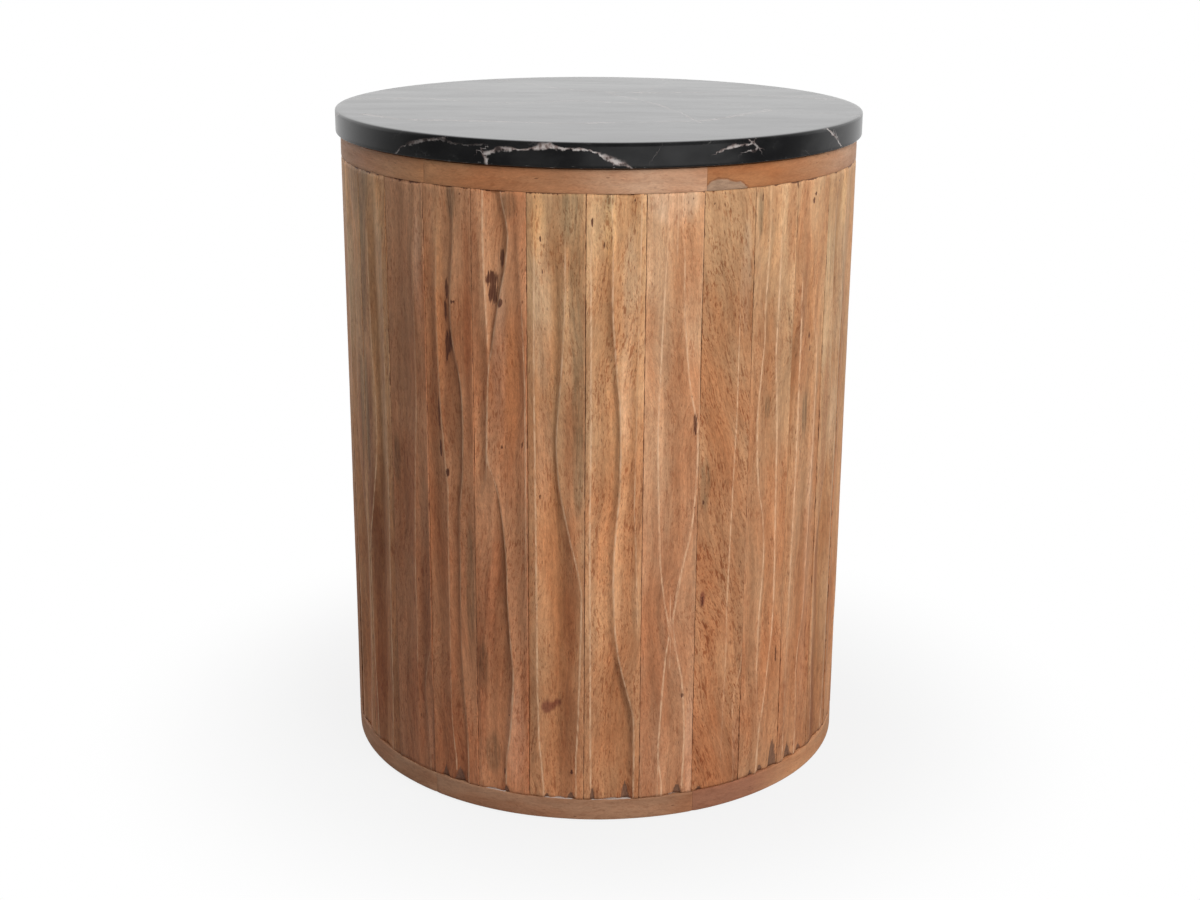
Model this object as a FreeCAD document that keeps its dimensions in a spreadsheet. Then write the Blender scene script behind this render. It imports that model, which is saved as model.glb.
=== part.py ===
import FreeCAD, Part
import math
import os

import Sketcher
from FreeCAD import Placement, Rotation, Vector

# A round side table: a marble disc on a drum of carved wooden staves between two wooden hoops.
# The origin is on the floor, under the middle of the drum. +Z is up and the front faces -Y.
# Angles round the drum start at the front and grow towards +X. Lengths are in millimetres.

doc = FreeCAD.newDocument("marble_side_table")
sheet = doc.addObject("Spreadsheet::Sheet", "Sizes")

SIZES = [
    ("marble_overhang", 4),
    ("marble_thickness", 20),
    ("marble_edge_ease", 1.5),
    ("drum_diameter", 452),
    ("stave_count", 30),
    ("stave_length", 519.5),
    ("stave_thickness", 22),
    ("stave_first_angle", 3.6),
    ("carve_depth", 6),
    ("hoop_segments", 6),
    ("hoop_height", 19),
    ("hoop_width", 45),
    ("hoop_first_angle", 52),
    ("panel_thickness", 18),
    ("tenon_length", 40),
    ("tenon_width", 24),
    ("tenon_thickness", 6),
    ("tenon_slack", 0.1),
    ("pad_side", 14),
    ("pad_thickness", 1),
    ("pad_inset", 20),
    ("glide_diameter", 24),
    ("glide_thickness", 1.5),
    ("glide_inset", 20),
]
for row, (alias, value) in enumerate(SIZES, start=1):
    sheet.set(f"A{row}", alias)
    sheet.set(f"B{row}", str(value))
    sheet.setAlias(f"B{row}", alias)
doc.recompute()

# Heights and radii that several pieces share
HOOP_FOOT = "Sizes.glide_thickness"
STAVE_FOOT = f"{HOOP_FOOT} + Sizes.hoop_height"
STAVE_TOP = f"{STAVE_FOOT} + Sizes.stave_length"
HOOP_TOP = f"{STAVE_TOP} + Sizes.hoop_height"
MARBLE_FOOT = f"{HOOP_TOP} + Sizes.pad_thickness"
DRUM_RADIUS = "Sizes.drum_diameter / 2"
HOOP_MIDDLE = f"({DRUM_RADIUS} - Sizes.hoop_width / 2)"

UPRIGHT = Vector(0, 0, 1)
nodes = []


def size(alias):
    return float(sheet.get(alias))


def bind(feature, **expressions):
    for name, expression in expressions.items():
        feature.setExpression(name, expression)


def keep(feature, label, foot):
    """Names a finished piece, which also names its file, and stands it at its height."""
    feature.Label = label
    feature.setExpression("Placement.Base.z", foot)
    nodes.append(feature)


def origin_plane(body, role):
    for feature in body.Origin.OriginFeatures:
        if feature.Role == role:
            return feature
    raise ValueError(role)


def new_sketch(body, name, role="XY_Plane"):
    sketch = body.newObject("Sketcher::SketchObject", name)
    sketch.AttachmentSupport = [(origin_plane(body, role), "")]
    sketch.MapMode = "FlatFace"
    return sketch


def constrain(sketch, name, expression, *terms):
    sketch.renameConstraint(sketch.addConstraint(Sketcher.Constraint(*terms)), name)
    sketch.setExpression(f"Constraints.{name}", expression)


def join_ends(sketch, *ends):
    for first, first_end, second, second_end in ends:
        sketch.addConstraint(Sketcher.Constraint("Coincident", first, first_end, second, second_end))


def turned(angle):
    return Rotation(UPRIGHT, angle)


def round_the_drum(angle, offset, tilt=Rotation()):
    return Placement(Vector(), turned(angle)).multiply(Placement(offset, tilt))


# Sector of the drum: an outer arc, two radial sides and an inner line or arc, centred on the front
def drum_sector(sketch, count, inner_radius, inner_is_arc):
    outer_radius = size("drum_diameter") / 2
    half_angle = 180 / size(count)
    left = math.radians(270 - half_angle)
    right = math.radians(270 + half_angle)

    def point(radius, angle):
        return Vector(radius * math.cos(angle), radius * math.sin(angle), 0)

    def arc(radius):
        return Part.ArcOfCircle(Part.Circle(Vector(), UPRIGHT, radius), left, right)

    def side(angle):
        return Part.LineSegment(point(inner_radius, angle), point(outer_radius, angle))

    outer = sketch.addGeometry(arc(outer_radius))
    right_side = sketch.addGeometry(side(right))
    left_side = sketch.addGeometry(side(left))
    back = Part.LineSegment(point(inner_radius, left), point(inner_radius, right))
    inner = sketch.addGeometry(arc(inner_radius) if inner_is_arc else back)
    join_ends(sketch, (outer, 3, -1, 1), (outer, 2, right_side, 2), (outer, 1, left_side, 2),
              (inner, 2, right_side, 1), (inner, 1, left_side, 1))
    sketch.addConstraint(Sketcher.Constraint("PointOnObject", -1, 1, right_side))
    sketch.addConstraint(Sketcher.Constraint("PointOnObject", -1, 1, left_side))
    sketch.addConstraint(Sketcher.Constraint("Symmetric", outer, 1, outer, 2, -2))
    constrain(sketch, "outer", DRUM_RADIUS, "Radius", outer, outer_radius)
    constrain(sketch, "chord", f"Sizes.drum_diameter * sin(180 deg / Sizes.{count})",
              "DistanceX", outer, 1, outer, 2, 2 * outer_radius * math.sin(math.radians(half_angle)))
    return inner


# Marble disc: a sawn slab that stands out past the drum all round, with its edges just eased
def marble_top():
    body = doc.addObject("PartDesign::Body", "MarbleTop")
    sketch = new_sketch(body, "MarbleOutline")
    radius = size("drum_diameter") / 2 + size("marble_overhang")
    rim = sketch.addGeometry(Part.Circle(Vector(), UPRIGHT, radius))
    join_ends(sketch, (rim, 3, -1, 1))
    constrain(sketch, "rim", f"{DRUM_RADIUS} + Sizes.marble_overhang", "Radius", rim, radius)
    slab = body.newObject("PartDesign::Pad", "MarbleSlab")
    slab.Profile = sketch
    bind(slab, Length="Sizes.marble_thickness")
    doc.recompute()
    rims = [f"Edge{number}" for number, edge in enumerate(slab.Shape.Edges, start=1) if edge.isClosed()]
    eased = body.newObject("PartDesign::Chamfer", "MarbleEasedEdges")
    eased.Base = (slab, rims)
    bind(eased, Size="Sizes.marble_edge_ease")
    keep(body, "marble_top", MARBLE_FOOT)


# Hoop segment: a sector of a flat ring, with a mortise in each end for the loose tenon of its joint
def hoop_segment(label, number, foot):
    half_angle = 180 / size("hoop_segments")
    body = doc.addObject("PartDesign::Body", "HoopSegment")
    outline = new_sketch(body, "SegmentOutline")
    inner_radius = size("drum_diameter") / 2 - size("hoop_width")
    inner = drum_sector(outline, "hoop_segments", inner_radius, True)
    join_ends(outline, (inner, 3, -1, 1))
    constrain(outline, "inner", f"{DRUM_RADIUS} - Sizes.hoop_width", "Radius", inner, inner_radius)
    blank = body.newObject("PartDesign::Pad", "SegmentBlank")
    blank.Profile = outline
    bind(blank, Length="Sizes.hoop_height")

    end_face = new_sketch(body, "MortiseOutline", "YZ_Plane")
    end_face.AttachmentOffset = Placement(Vector(), Rotation(Vector(0, 1, 0), half_angle))
    end_face.setExpression("AttachmentOffset.Rotation.Angle", "180 / Sizes.hoop_segments")
    wide = size("tenon_width") + 2 * size("tenon_slack")
    high = size("tenon_thickness") + 2 * size("tenon_slack")
    out = size("drum_diameter") / 2 - size("hoop_width") / 2 + wide / 2
    low = size("hoop_height") / 2 - high / 2
    corners = [Vector(-out, low), Vector(wide - out, low),
               Vector(wide - out, low + high), Vector(-out, low + high)]
    sides = [Part.LineSegment(corners[turn - 1], corners[turn]) for turn in range(4)]
    lines = [end_face.addGeometry(line) for line in sides]
    for turn, line in enumerate(lines):
        join_ends(end_face, (lines[turn - 1], 2, line, 1))
        end_face.addConstraint(Sketcher.Constraint("Horizontal" if turn % 2 else "Vertical", line))
    constrain(end_face, "wide", "Sizes.tenon_width + 2 * Sizes.tenon_slack",
              "DistanceX", lines[1], 1, lines[1], 2, wide)
    constrain(end_face, "high", "Sizes.tenon_thickness + 2 * Sizes.tenon_slack",
              "DistanceY", lines[2], 1, lines[2], 2, high)
    constrain(end_face, "out", f"{HOOP_MIDDLE} + Sizes.tenon_width / 2 + Sizes.tenon_slack",
              "DistanceX", lines[1], 1, -1, 1, out)
    constrain(end_face, "low", "Sizes.hoop_height / 2 - Sizes.tenon_thickness / 2 - Sizes.tenon_slack",
              "DistanceY", -1, 1, lines[1], 1, low)
    mortise = body.newObject("PartDesign::Pocket", "Mortise")
    mortise.Profile = end_face
    bind(mortise, Length="Sizes.tenon_length / 2 + Sizes.tenon_slack")
    doc.recompute()
    mortises = body.newObject("PartDesign::Mirrored", "Mortises")
    mortises.Originals = [mortise]
    mortises.MirrorPlane = (origin_plane(body, "YZ_Plane"), [""])
    body.Tip = mortises
    body.Placement = Placement(Vector(), turned(size("hoop_first_angle") + number * 2 * half_angle))
    keep(body, label, foot)


# Loose tenons: one across each butt joint of a hoop, half its length in either segment
def hoop_tenons(label, hoop_foot):
    tenons = []
    for number in range(int(size("hoop_segments"))):
        tenon = doc.addObject("Part::Box", "Tenon")
        bind(tenon, Length="Sizes.tenon_length", Width="Sizes.tenon_width",
             Height="Sizes.tenon_thickness")
        middle = size("drum_diameter") / 2 - size("hoop_width") / 2
        corner = Vector(-size("tenon_length") / 2, -middle - size("tenon_width") / 2, 0)
        joint = size("hoop_first_angle") + (number + .5) * 360 / size("hoop_segments")
        tenon.Placement = round_the_drum(joint, corner)
        tenons.append(tenon)
    group = doc.addObject("Part::Compound", "Tenons")
    group.Links = tenons
    keep(group, label, f"{hoop_foot} + Sizes.hoop_height / 2 - Sizes.tenon_thickness / 2")


# Carvings: each hollow is a list of cuts down the stave, from its upper end to its lower end.
# A cut holds its height up the stave, then its left edge, its deepest line and its right edge
# across the stave, and its depth, all as shares of the stave's own length, width and full depth.
# A hollow that starts at 1 or stops at 0 runs out through that end of the stave.
CARVINGS = {
    "plumb_line": [
        [(.96, .22, .44, .60, 0), (.88, .13, .49, .66, .6), (.60, .13, .49, .58, .7),
         (.38, .14, .53, .92, .7), (.12, .17, .53, .92, .7), (0, .28, .56, .86, .9)],
        [(.96, -.08, 0, .09, 0), (0, -.12, -.02, .16, .4)],
    ],
    "broad": [
        [(.99, .05, .36, .70, .1), (.80, -.03, .36, .72, .45), (.45, -.03, .38, .68, .5),
         (.10, -.03, .34, .60, .4), (0, .03, .12, .22, .5)],
        [(.95, .80, .90, 1.03, 0), (.35, .73, .88, 1.03, .4), (.02, .70, .84, .96, 0)],
    ],
    "long_bend": [
        [(1, .12, .28, .40, .1), (.90, .09, .30, .45, .5), (.78, .09, .32, .48, .6),
         (.67, .10, .42, .59, .8), (.57, .10, .44, .61, .8), (.45, .09, .36, .52, .6),
         (.34, .09, .36, .50, .6), (.24, .10, .42, .62, .7), (.15, .11, .60, .88, .8),
         (0, .13, .60, .90, .9)],
        [(1, .49, .72, .92, .3), (.80, .51, .70, .90, .4), (.60, .65, .76, .88, .3),
         (.38, .54, .72, .91, .5), (.25, .66, .80, .93, .4), (.16, .91, .93, .95, 0)],
    ],
    "sickle": [
        [(.98, .38, .50, .58, 0), (.90, .28, .50, .63, .6), (.80, .25, .44, .55, .7),
         (.64, .31, .60, .77, .8), (.48, .45, .60, .69, .7), (.15, .43, .58, .71, .6),
         (0, .52, .66, .79, .9)],
        [(.95, .06, .14, .24, 0), (.75, -.03, .10, .22, .5), (.15, -.03, .18, .40, .4),
         (0, .20, .31, .42, .9)],
    ],
    "crossing": [
        [(.96, .42, .50, .58, 0), (.88, .34, .52, .66, .4), (.76, .29, .54, .72, .5),
         (.64, .26, .60, .95, .6), (.54, .27, .60, .96, .6), (.42, .33, .56, .76, .5),
         (.31, .50, .53, .56, 0)],
        [(.28, .50, .54, .58, 0), (.22, .44, .58, .73, .4), (.10, .37, .60, .82, .5),
         (0, .46, .66, .79, .9)],
        [(.90, .06, .18, .30, 0), (.65, 0, .12, .23, .3), (.35, 0, .16, .36, .35),
         (.20, 0, .20, .40, .35), (.03, .06, .20, .30, 0)],
        [(.94, .72, .82, .94, 0), (.78, .75, .88, 1.03, .3), (.66, .97, .99, 1.03, 0)],
        [(.44, .92, .96, 1.03, 0), (.32, .62, .84, 1.03, .4), (.10, .86, .94, 1.03, .1),
         (.02, .88, .94, 1.03, 0)],
    ],
    "fork": [
        [(.97, .38, .50, .58, 0), (.84, .34, .48, .59, .5), (.74, .29, .46, .57, .6),
         (.63, .19, .46, .64, .6), (.50, .28, .52, .69, .5), (.40, .44, .60, .71, .5),
         (.30, .38, .58, .73, .6), (.18, .37, .52, .64, .5), (.08, .45, .47, .49, 0)],
        [(.06, .46, .48, .50, 0), (0, .42, .54, .68, .9)],
        [(.95, .68, .80, .95, 0), (.72, .62, .80, 1.03, .4), (.34, .77, .90, 1.03, .4),
         (.14, .66, .85, 1.03, .4), (.04, .74, .92, 1.03, .7), (0, .78, .95, 1.03, 1)],
        [(.70, .04, .12, .20, 0), (.54, -.03, .08, .17, .3), (.40, -.03, .20, .40, .4),
         (.18, -.03, .18, .33, .3), (0, .16, .26, .34, .6)],
    ],
    "knot": [
        [(.95, 0, .08, .16, 0), (.75, -.03, .12, .22, .6), (.45, -.03, .13, .24, .7),
         (.20, -.03, .08, .17, .4), (.08, 0, .06, .12, 0)],
        [(.88, .30, .40, .50, 0), (.76, .26, .46, .60, .4), (.70, .27, .56, .77, .5),
         (.50, .28, .54, .75, .5), (.30, .26, .48, .66, .4), (.15, .24, .38, .52, .4),
         (0, .22, .35, .48, .9)],
        [(.68, .84, .92, 1.03, 0), (.40, .77, .90, 1.03, .4), (.15, .62, .82, 1.03, .4),
         (0, .64, .75, .86, .8)],
    ],
    "hook": [
        [(1, .24, .40, .54, .2), (.93, .23, .50, .68, .5), (.84, .25, .42, .55, .6),
         (.73, .28, .30, .32, 0)],
        [(.90, .70, .78, .84, 0), (.80, .52, .70, .90, .4), (.70, .34, .62, .95, .5),
         (.58, .28, .58, .95, .5), (.44, .62, .76, .92, .4), (.25, .73, .82, .92, .3),
         (.10, .75, .80, .86, 0)],
        [(.56, .25, .27, .29, 0), (.48, .34, .44, .52, .6), (.37, .28, .46, .60, .7),
         (.25, .14, .48, .68, .6), (.12, .06, .36, .68, .5), (0, .08, .40, .61, .9)],
    ],
}

# Staves at the front, counted from the one just right of the middle. The staves behind repeat
# the plainer carvings, some of them in mirror image.
FRONT = {
    0: "long_bend", 1: "crossing", 2: "broad", 3: "fork", 4: "knot",
    -1: "plumb_line", -2: "hook", -3: "sickle",
}
BEHIND = (
    ("plumb_line", True), ("broad", False), ("sickle", True), ("broad", True),
    ("plumb_line", False),
)

# How far a carving tool reaches past the wood that it cuts, how high it leaves at a run-out, and
# how much of each side of a hollow is level floor
TOOL_REACH = 8
RUN_OUT = .4
FLOOR_SHARE = .35


def mirrored(carving):
    return [[(up, 1 - right, 1 - low, 1 - left, depth) for up, left, low, right, depth in hollow]
            for hollow in carving]


def carving_of(number):
    count = int(size("stave_count"))
    place = number - count if number > count / 2 else number
    if place in FRONT:
        return CARVINGS[FRONT[place]]
    name, in_mirror = BEHIND[number % len(BEHIND)]
    return mirrored(CARVINGS[name]) if in_mirror else CARVINGS[name]


# Section of a carving tool at one height: two sloping walls, a level floor, and a roof clear of
# the wood. Each wall goes on past the edge of the hollow, as far again as it goes into the wood.
def tool_section(cut):
    up, left, low, right, depth = cut
    height = up * size("stave_length")
    if up == 1:
        height += TOOL_REACH
    if up == 0:
        height -= TOOL_REACH
    radius = size("drum_diameter") / 2
    stave_angle = math.radians(360 / size("stave_count"))

    def point(across, distance):
        angle = (across - .5) * stave_angle
        return Vector(distance * math.sin(angle), -distance * math.cos(angle), height)

    floor_distance = radius - depth * size("carve_depth") if depth else radius + RUN_OUT
    floor_left = point(low + FLOOR_SHARE * (left - low), floor_distance)
    floor_right = point(low + FLOOR_SHARE * (right - low), floor_distance)
    if depth:
        brim_left = point(left, radius) * 2 - floor_left
        brim_right = point(right, radius) * 2 - floor_right
    else:
        brim_left = point(left, radius + 2 * RUN_OUT)
        brim_right = point(right, radius + 2 * RUN_OUT)
    return [brim_left, floor_left, floor_right, brim_right, point(low, radius + TOOL_REACH)]


def flat_face(*corners):
    return Part.Face(Part.makePolygon([*corners, corners[0]]))


# Carving tool: flat facets from section to section, as a knife leaves them
def carving_tool(hollow):
    sections = [tool_section(cut) for cut in hollow]
    faces = [flat_face(*sections[0]), flat_face(*sections[-1])]
    for upper, lower in zip(sections, sections[1:]):
        for corner in range(len(upper)):
            faces.append(flat_face(upper[corner - 1], upper[corner], lower[corner]))
            faces.append(flat_face(upper[corner - 1], lower[corner], lower[corner - 1]))
    tool = doc.addObject("Part::Feature", "CarvingTool")
    tool.Shape = Part.Solid(Part.Shell(faces))
    return tool


# Stave blank: sawn with radial sides and a flat back, and rounded outside to the drum
def stave_blank():
    body = doc.addObject("PartDesign::Body", "StaveBlank")
    sketch = new_sketch(body, "StaveOutline")
    back_distance = size("drum_diameter") / 2 - size("stave_thickness")
    corner_radius = back_distance / math.cos(math.pi / size("stave_count"))
    back = drum_sector(sketch, "stave_count", corner_radius, False)
    sketch.addConstraint(Sketcher.Constraint("Horizontal", back))
    constrain(sketch, "back", f"{DRUM_RADIUS} - Sizes.stave_thickness",
              "DistanceY", back, 1, -1, 1, back_distance)
    pad = body.newObject("PartDesign::Pad", "StaveLength")
    pad.Profile = sketch
    bind(pad, Length="Sizes.stave_length")
    return body


# Stave: the blank with its hollows carved one after another
def stave(number, blank):
    wood = blank
    for hollow in carving_of(number):
        carved = doc.addObject("Part::Cut", "CarvedStave")
        carved.Base = wood
        carved.Tool = carving_tool(hollow)
        wood = carved
    angle = size("stave_first_angle") + number * 360 / size("stave_count")
    wood.Placement = Placement(Vector(), turned(angle))
    keep(wood, f"stave_{number + 1:02d}", STAVE_FOOT)


# Panel: a many-sided disc whose flats carry the backs of the staves
def panel(label, foot):
    outline = doc.addObject("Part::RegularPolygon", "PanelOutline")
    bind(outline, Polygon="Sizes.stave_count",
         Circumradius=f"({DRUM_RADIUS} - Sizes.stave_thickness) / cos(180 deg / Sizes.stave_count)")
    board = doc.addObject("Part::Extrusion", "PanelBoard")
    board.Base = outline
    board.DirMode = "Custom"
    board.Dir = UPRIGHT
    board.Solid = True
    bind(board, LengthFwd="Sizes.panel_thickness")
    first_corner = size("stave_first_angle") - 90 + 180 / size("stave_count")
    board.Placement = Placement(Vector(), turned(first_corner))
    keep(board, label, foot)


# Pads and glides: one on the middle of each hoop segment
def segment_middles():
    count = int(size("hoop_segments"))
    return [size("hoop_first_angle") + number * 360 / count for number in range(count)]


def silicone_pads():
    pads = []
    for angle in segment_middles():
        pad = doc.addObject("Part::Box", "Pad")
        bind(pad, Length="Sizes.pad_side", Width="Sizes.pad_side", Height="Sizes.pad_thickness")
        nearest = size("pad_inset") - size("drum_diameter") / 2 - size("pad_side") / 2
        pad.Placement = round_the_drum(angle, Vector(-size("pad_side") / 2, nearest, 0))
        pads.append(pad)
    group = doc.addObject("Part::Compound", "SiliconePads")
    group.Links = pads
    keep(group, "silicone_pads", HOOP_TOP)


def floor_glides():
    glides = []
    for angle in segment_middles():
        glide = doc.addObject("Part::Cylinder", "Glide")
        bind(glide, Radius="Sizes.glide_diameter / 2", Height="Sizes.glide_thickness")
        middle = size("glide_inset") - size("drum_diameter") / 2
        glide.Placement = round_the_drum(angle, Vector(0, middle, 0))
        glides.append(glide)
    group = doc.addObject("Part::Compound", "FloorGlides")
    group.Links = glides
    keep(group, "floor_glides", "0")


marble_top()
for segment in range(int(size("hoop_segments"))):
    hoop_segment(f"top_hoop_segment_{segment + 1}", segment, STAVE_TOP)
    hoop_segment(f"bottom_hoop_segment_{segment + 1}", segment, HOOP_FOOT)
hoop_tenons("top_hoop_tenons", STAVE_TOP)
hoop_tenons("bottom_hoop_tenons", HOOP_FOOT)
sawn_blank = stave_blank()
for stave_number in range(int(size("stave_count"))):
    stave(stave_number, sawn_blank)
panel("top_panel", f"{STAVE_TOP} - Sizes.panel_thickness")
panel("base_panel", STAVE_FOOT)
silicone_pads()
floor_glides()
doc.recompute()

for feature in doc.Objects:
    if "Invalid" in feature.State or "Error" in feature.State:
        raise RuntimeError(f"{feature.Label}: {feature.State}")
for node in nodes:
    if node.Shape.isNull() or not node.Shape.isValid():
        raise RuntimeError(f"{node.Label} has no sound shape")

os.makedirs("parts", exist_ok=True)
for node in nodes:
    node.Shape.exportStep(f"parts/{node.Label}.step")
    solids = node.Shape.Solids
    print(node.Label, len(solids), round(sum(solid.Volume for solid in solids)))
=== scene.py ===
import math

import bpy
import numpy as np
from mathutils import Matrix, Vector


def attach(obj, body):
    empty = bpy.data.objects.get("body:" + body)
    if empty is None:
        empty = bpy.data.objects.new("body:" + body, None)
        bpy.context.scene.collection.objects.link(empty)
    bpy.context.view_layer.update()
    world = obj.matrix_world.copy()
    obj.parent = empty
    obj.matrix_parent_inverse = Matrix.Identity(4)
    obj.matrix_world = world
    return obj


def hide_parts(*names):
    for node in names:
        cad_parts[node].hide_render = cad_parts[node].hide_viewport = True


# The looks of a round side table: a dark marble disc on a drum of carved wooden staves.
# Angles round the drum are in degrees, from the front (-Y) towards +X. Heights and depths are in
# millimetres, and places across a stave are shares of its width, from its left edge.

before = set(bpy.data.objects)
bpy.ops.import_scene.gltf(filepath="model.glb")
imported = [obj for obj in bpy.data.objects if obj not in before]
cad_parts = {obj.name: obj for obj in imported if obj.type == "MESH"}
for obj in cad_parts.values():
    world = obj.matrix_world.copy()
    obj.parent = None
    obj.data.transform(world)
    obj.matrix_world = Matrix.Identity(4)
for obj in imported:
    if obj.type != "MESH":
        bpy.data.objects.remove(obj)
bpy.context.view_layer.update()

MM = .001
DRUM_RADIUS = 226
MARBLE_RADIUS = 230
STAVE_COUNT = 30
STAVE_ANGLE = 360 / STAVE_COUNT
STAVE_FIRST_ANGLE = 3.6
STAVE_FOOT = 20.5
STAVE_TOP = 540
STAVE_THICKNESS = 22
STAVE_WIDTH = DRUM_RADIUS * math.radians(STAVE_ANGLE)
HOOP_HEIGHT = 19
HOOP_WIDTH = 45
HOOP_SEGMENTS = 6
HOOP_FIRST_ANGLE = 52
BOTTOM_HOOP_FOOT = 1.5
MARBLE_FOOT = 560
MARBLE_TOP = 580
# How far each side of a joint stands back, in millimetres and as an angle
JOINT_GAP = .06
JOINT_ANGLE = math.degrees(JOINT_GAP / DRUM_RADIUS)

# Smooth noise from -1 to 1 over a grid of cells, the same at each run
CELL_FACTORS = (374761393, 668265263, 974634777)
CELL_MIX = 1274126177
WORD = 0xFFFFFFFF
HALF_WORD = 0xFFFF


def cell_value(across, along, seed):
    mixed = sum(factor * part for factor, part in zip(CELL_FACTORS, (across, along, seed))) & WORD
    mixed = ((mixed ^ (mixed >> 13)) * CELL_MIX) & WORD
    return ((mixed ^ (mixed >> 16)) & HALF_WORD) / (HALF_WORD / 2) - 1


def eased(share):
    return share ** 2 * (3 - 2 * share)


def noise(across, along, seed):
    across, along = np.broadcast_arrays(np.asarray(across, float), np.asarray(along, float))
    left = np.floor(across).astype(np.int64)
    low = np.floor(along).astype(np.int64)
    right_share = eased(across - left)
    high_share = eased(along - low)

    def row(level):
        start = cell_value(left, level, seed)
        return start * (1 - right_share) + cell_value(left + 1, level, seed) * right_share

    return row(low) * (1 - high_share) + row(low + 1) * high_share


def on_drum(angle, radius, height):
    """Points round the drum, in metres, one row each."""
    turn = np.radians(angle)
    return np.stack(np.broadcast_arrays(radius * np.sin(turn), -radius * np.cos(turn), height), -1) * MM


def rounding(distance, reach):
    """From 1 at an edge to 0 at the given reach from it."""
    return np.clip(1 - distance / reach, 0, 1) ** 2


# Pieces
def tube_faces(rings, turned_over=False):
    """Faces between rings of vertices, and one across each end, turned over if the rings run backwards."""
    closed = np.column_stack([rings, rings[:, 0]])
    corners = [closed[:-1, :-1], closed[:-1, 1:], closed[1:, 1:], closed[1:, :-1]]
    ends = [rings[0, ::-1], rings[-1]]
    if turned_over:
        corners = [corners[0], *corners[:0:-1]]
        ends = [end[::-1] for end in ends]
    sides = np.stack(corners, -1).reshape(-1, 4)
    return [*sides.tolist(), *(end.tolist() for end in ends)]


def new_piece(name, points, faces, smooth, node, material):
    mesh = bpy.data.meshes.new(name)
    mesh.from_pydata(points.reshape(-1, 3).tolist(), [], faces)
    mesh.polygons.foreach_set("use_smooth", smooth)
    mesh.update()
    piece = bpy.data.objects.new(name, mesh)
    bpy.context.scene.collection.objects.link(piece)
    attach(piece, "root")
    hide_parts(node)
    mesh.materials.append(material)
    return piece


ATTRIBUTE_KINDS = {1: ("FLOAT", "value"), 3: ("FLOAT_VECTOR", "vector"), 4: ("FLOAT_COLOR", "color")}


def paint(piece, name, *parts):
    """Keeps a value, a vector or a colour for each vertex, for the material to read."""
    values = np.concatenate([np.ravel(part) for part in parts]).astype(np.float32)
    kind, field = ATTRIBUTE_KINDS[len(values) // len(piece.data.vertices)]
    piece.data.attributes.new(name, kind, "POINT").data.foreach_set(field, values)


def opaque(colours):
    return np.concatenate([colours, np.ones((*colours.shape[:-1], 1))], -1)


def rgb(red, green, blue):
    return (red, green, blue, 1.0)


# Noise patterns: cells to the metre along each axis, detail, roughness, and a shift if there is one
PATTERNS = {
    "wander": ((15, 15, 9), 1, .5),
    "ripple": ((90, 90, 45), 1, .5),
    "wood clouds": ((26, 26, 8), 3, .6),
    "weather": ((22, 22, 6), 3, .55, (5, 3, 1)),
    "patches": ((55, 55, 20), 2, .5),
    "bands": ((120, 120, 3), 2, .5),
    "streaks": ((560, 560, 26), 2, .5),
    "mottle": ((330, 330, 140), 3, .65),
    "fibres": ((1500, 1500, 330), 2, .6),
    "flecks": ((560, 560, 115), 2, .6),
    "specks": ((1000, 1000, 330), 1, .5),
    "broken": ((520, 520, 90), 3, .7),
    "threads": ((1000, 1000, 60), 2, .6),
    "stone clouds": ((26, 26, 40), 4, .6),
    "smear": ((9, 34, 34), 5, .62),
    "ragged vein": ((170, 170, 170), 5, .72),
    "swelling": ((75, 75, 75), 2, .5),
    "vein breaks": ((170, 170, 170), 4, .6),
    "hairs": ((17, 17, 24), 5, .55),
    "chips": ((210, 210, 900), 3, .7),
    "polish": ((900, 900, 900), 2, .5),
    "tenon grain": ((60, 60, 900), 4, .6),
    "plywood grain": ((14, 14, 520), 4, .6),
    "haze": ((240, 240, 240), 3, .5),
    "fluff": ((1500, 1500, 1500), 5, .7),
}
# How high the chips reach on the marble's rim, and over what height they fade out
CHIP_TOP = MARBLE_FOOT + 2.2
CHIP_FADE = .8
# How bright the room in front of the table is in reflections
DARK_ROOM = .12
# Ramps: the values between which each one runs, and what it runs from and to, if not 0 and 1
RAMPS = {
    "wood clouds": (.34, .66),
    "flush": (1.8, .1, 0, .62),
    "deep": (1.2, 6),
    "patches": (.34, .66, .45, 1.25),
    "flecks": (.545, .655),
    "specks": (.56, .70, 0, .8),
    "pore": (.34, .119),
    "pore strength": (0, 1, .3, 1),
    "grey": (0, .9),
    "grey streaks": (.30, .66, 1, .6),
    "pale": (0, -1, 0, .55),
    "crest": (1.2, .2),
    "crest breaks": (.36, .64, .14, .76),
    "stain": (-.04, .30),
    "stain threads": (.35, .62, .66, .92),
    "foot": (0, .45, 0, .80),
    "glue_and_highlight": (0, .4, 0, .75),
    "filler outside": (-1.1, .1),
    "filler inside": (1.3, .1, 0, .42),
    "filler": (0, 1.3, 0, .9),
    "wood gloss": (.25, .75, .60, .47),
    "stone clouds": (.35, .75),
    "swelling": (.3, .7, .6, 2.2),
    "vein": (1.15, .2),
    "vein breaks": (.34, .58, .12, 1),
    "vein colour": (.4, .6),
    "hair": (.006, .001),
    "hair clouds": (.45, .7, 0, .16),
    "chips": (.64, .70, 0, .8),
    "chip height": (CHIP_TOP * MM, (CHIP_TOP - CHIP_FADE) * MM),
    "stone gloss": (.3, .7, .13, .19),
    "plain": (.3, .7),
    "plain gloss": (.3, .7, .5, .7),
    "silicone gloss": (.3, .7, .25, .4),
    "floor glow": (.22, .50, .85, 1),
    "floor room": (-.9, 3.4, DARK_ROOM, .72),
    "window": (3.0, 1.4, 0, .66),
    "sky room": (-.3, .6, DARK_ROOM, 1),
    "overhead": (.80, .97, 0, .6),
}


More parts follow.
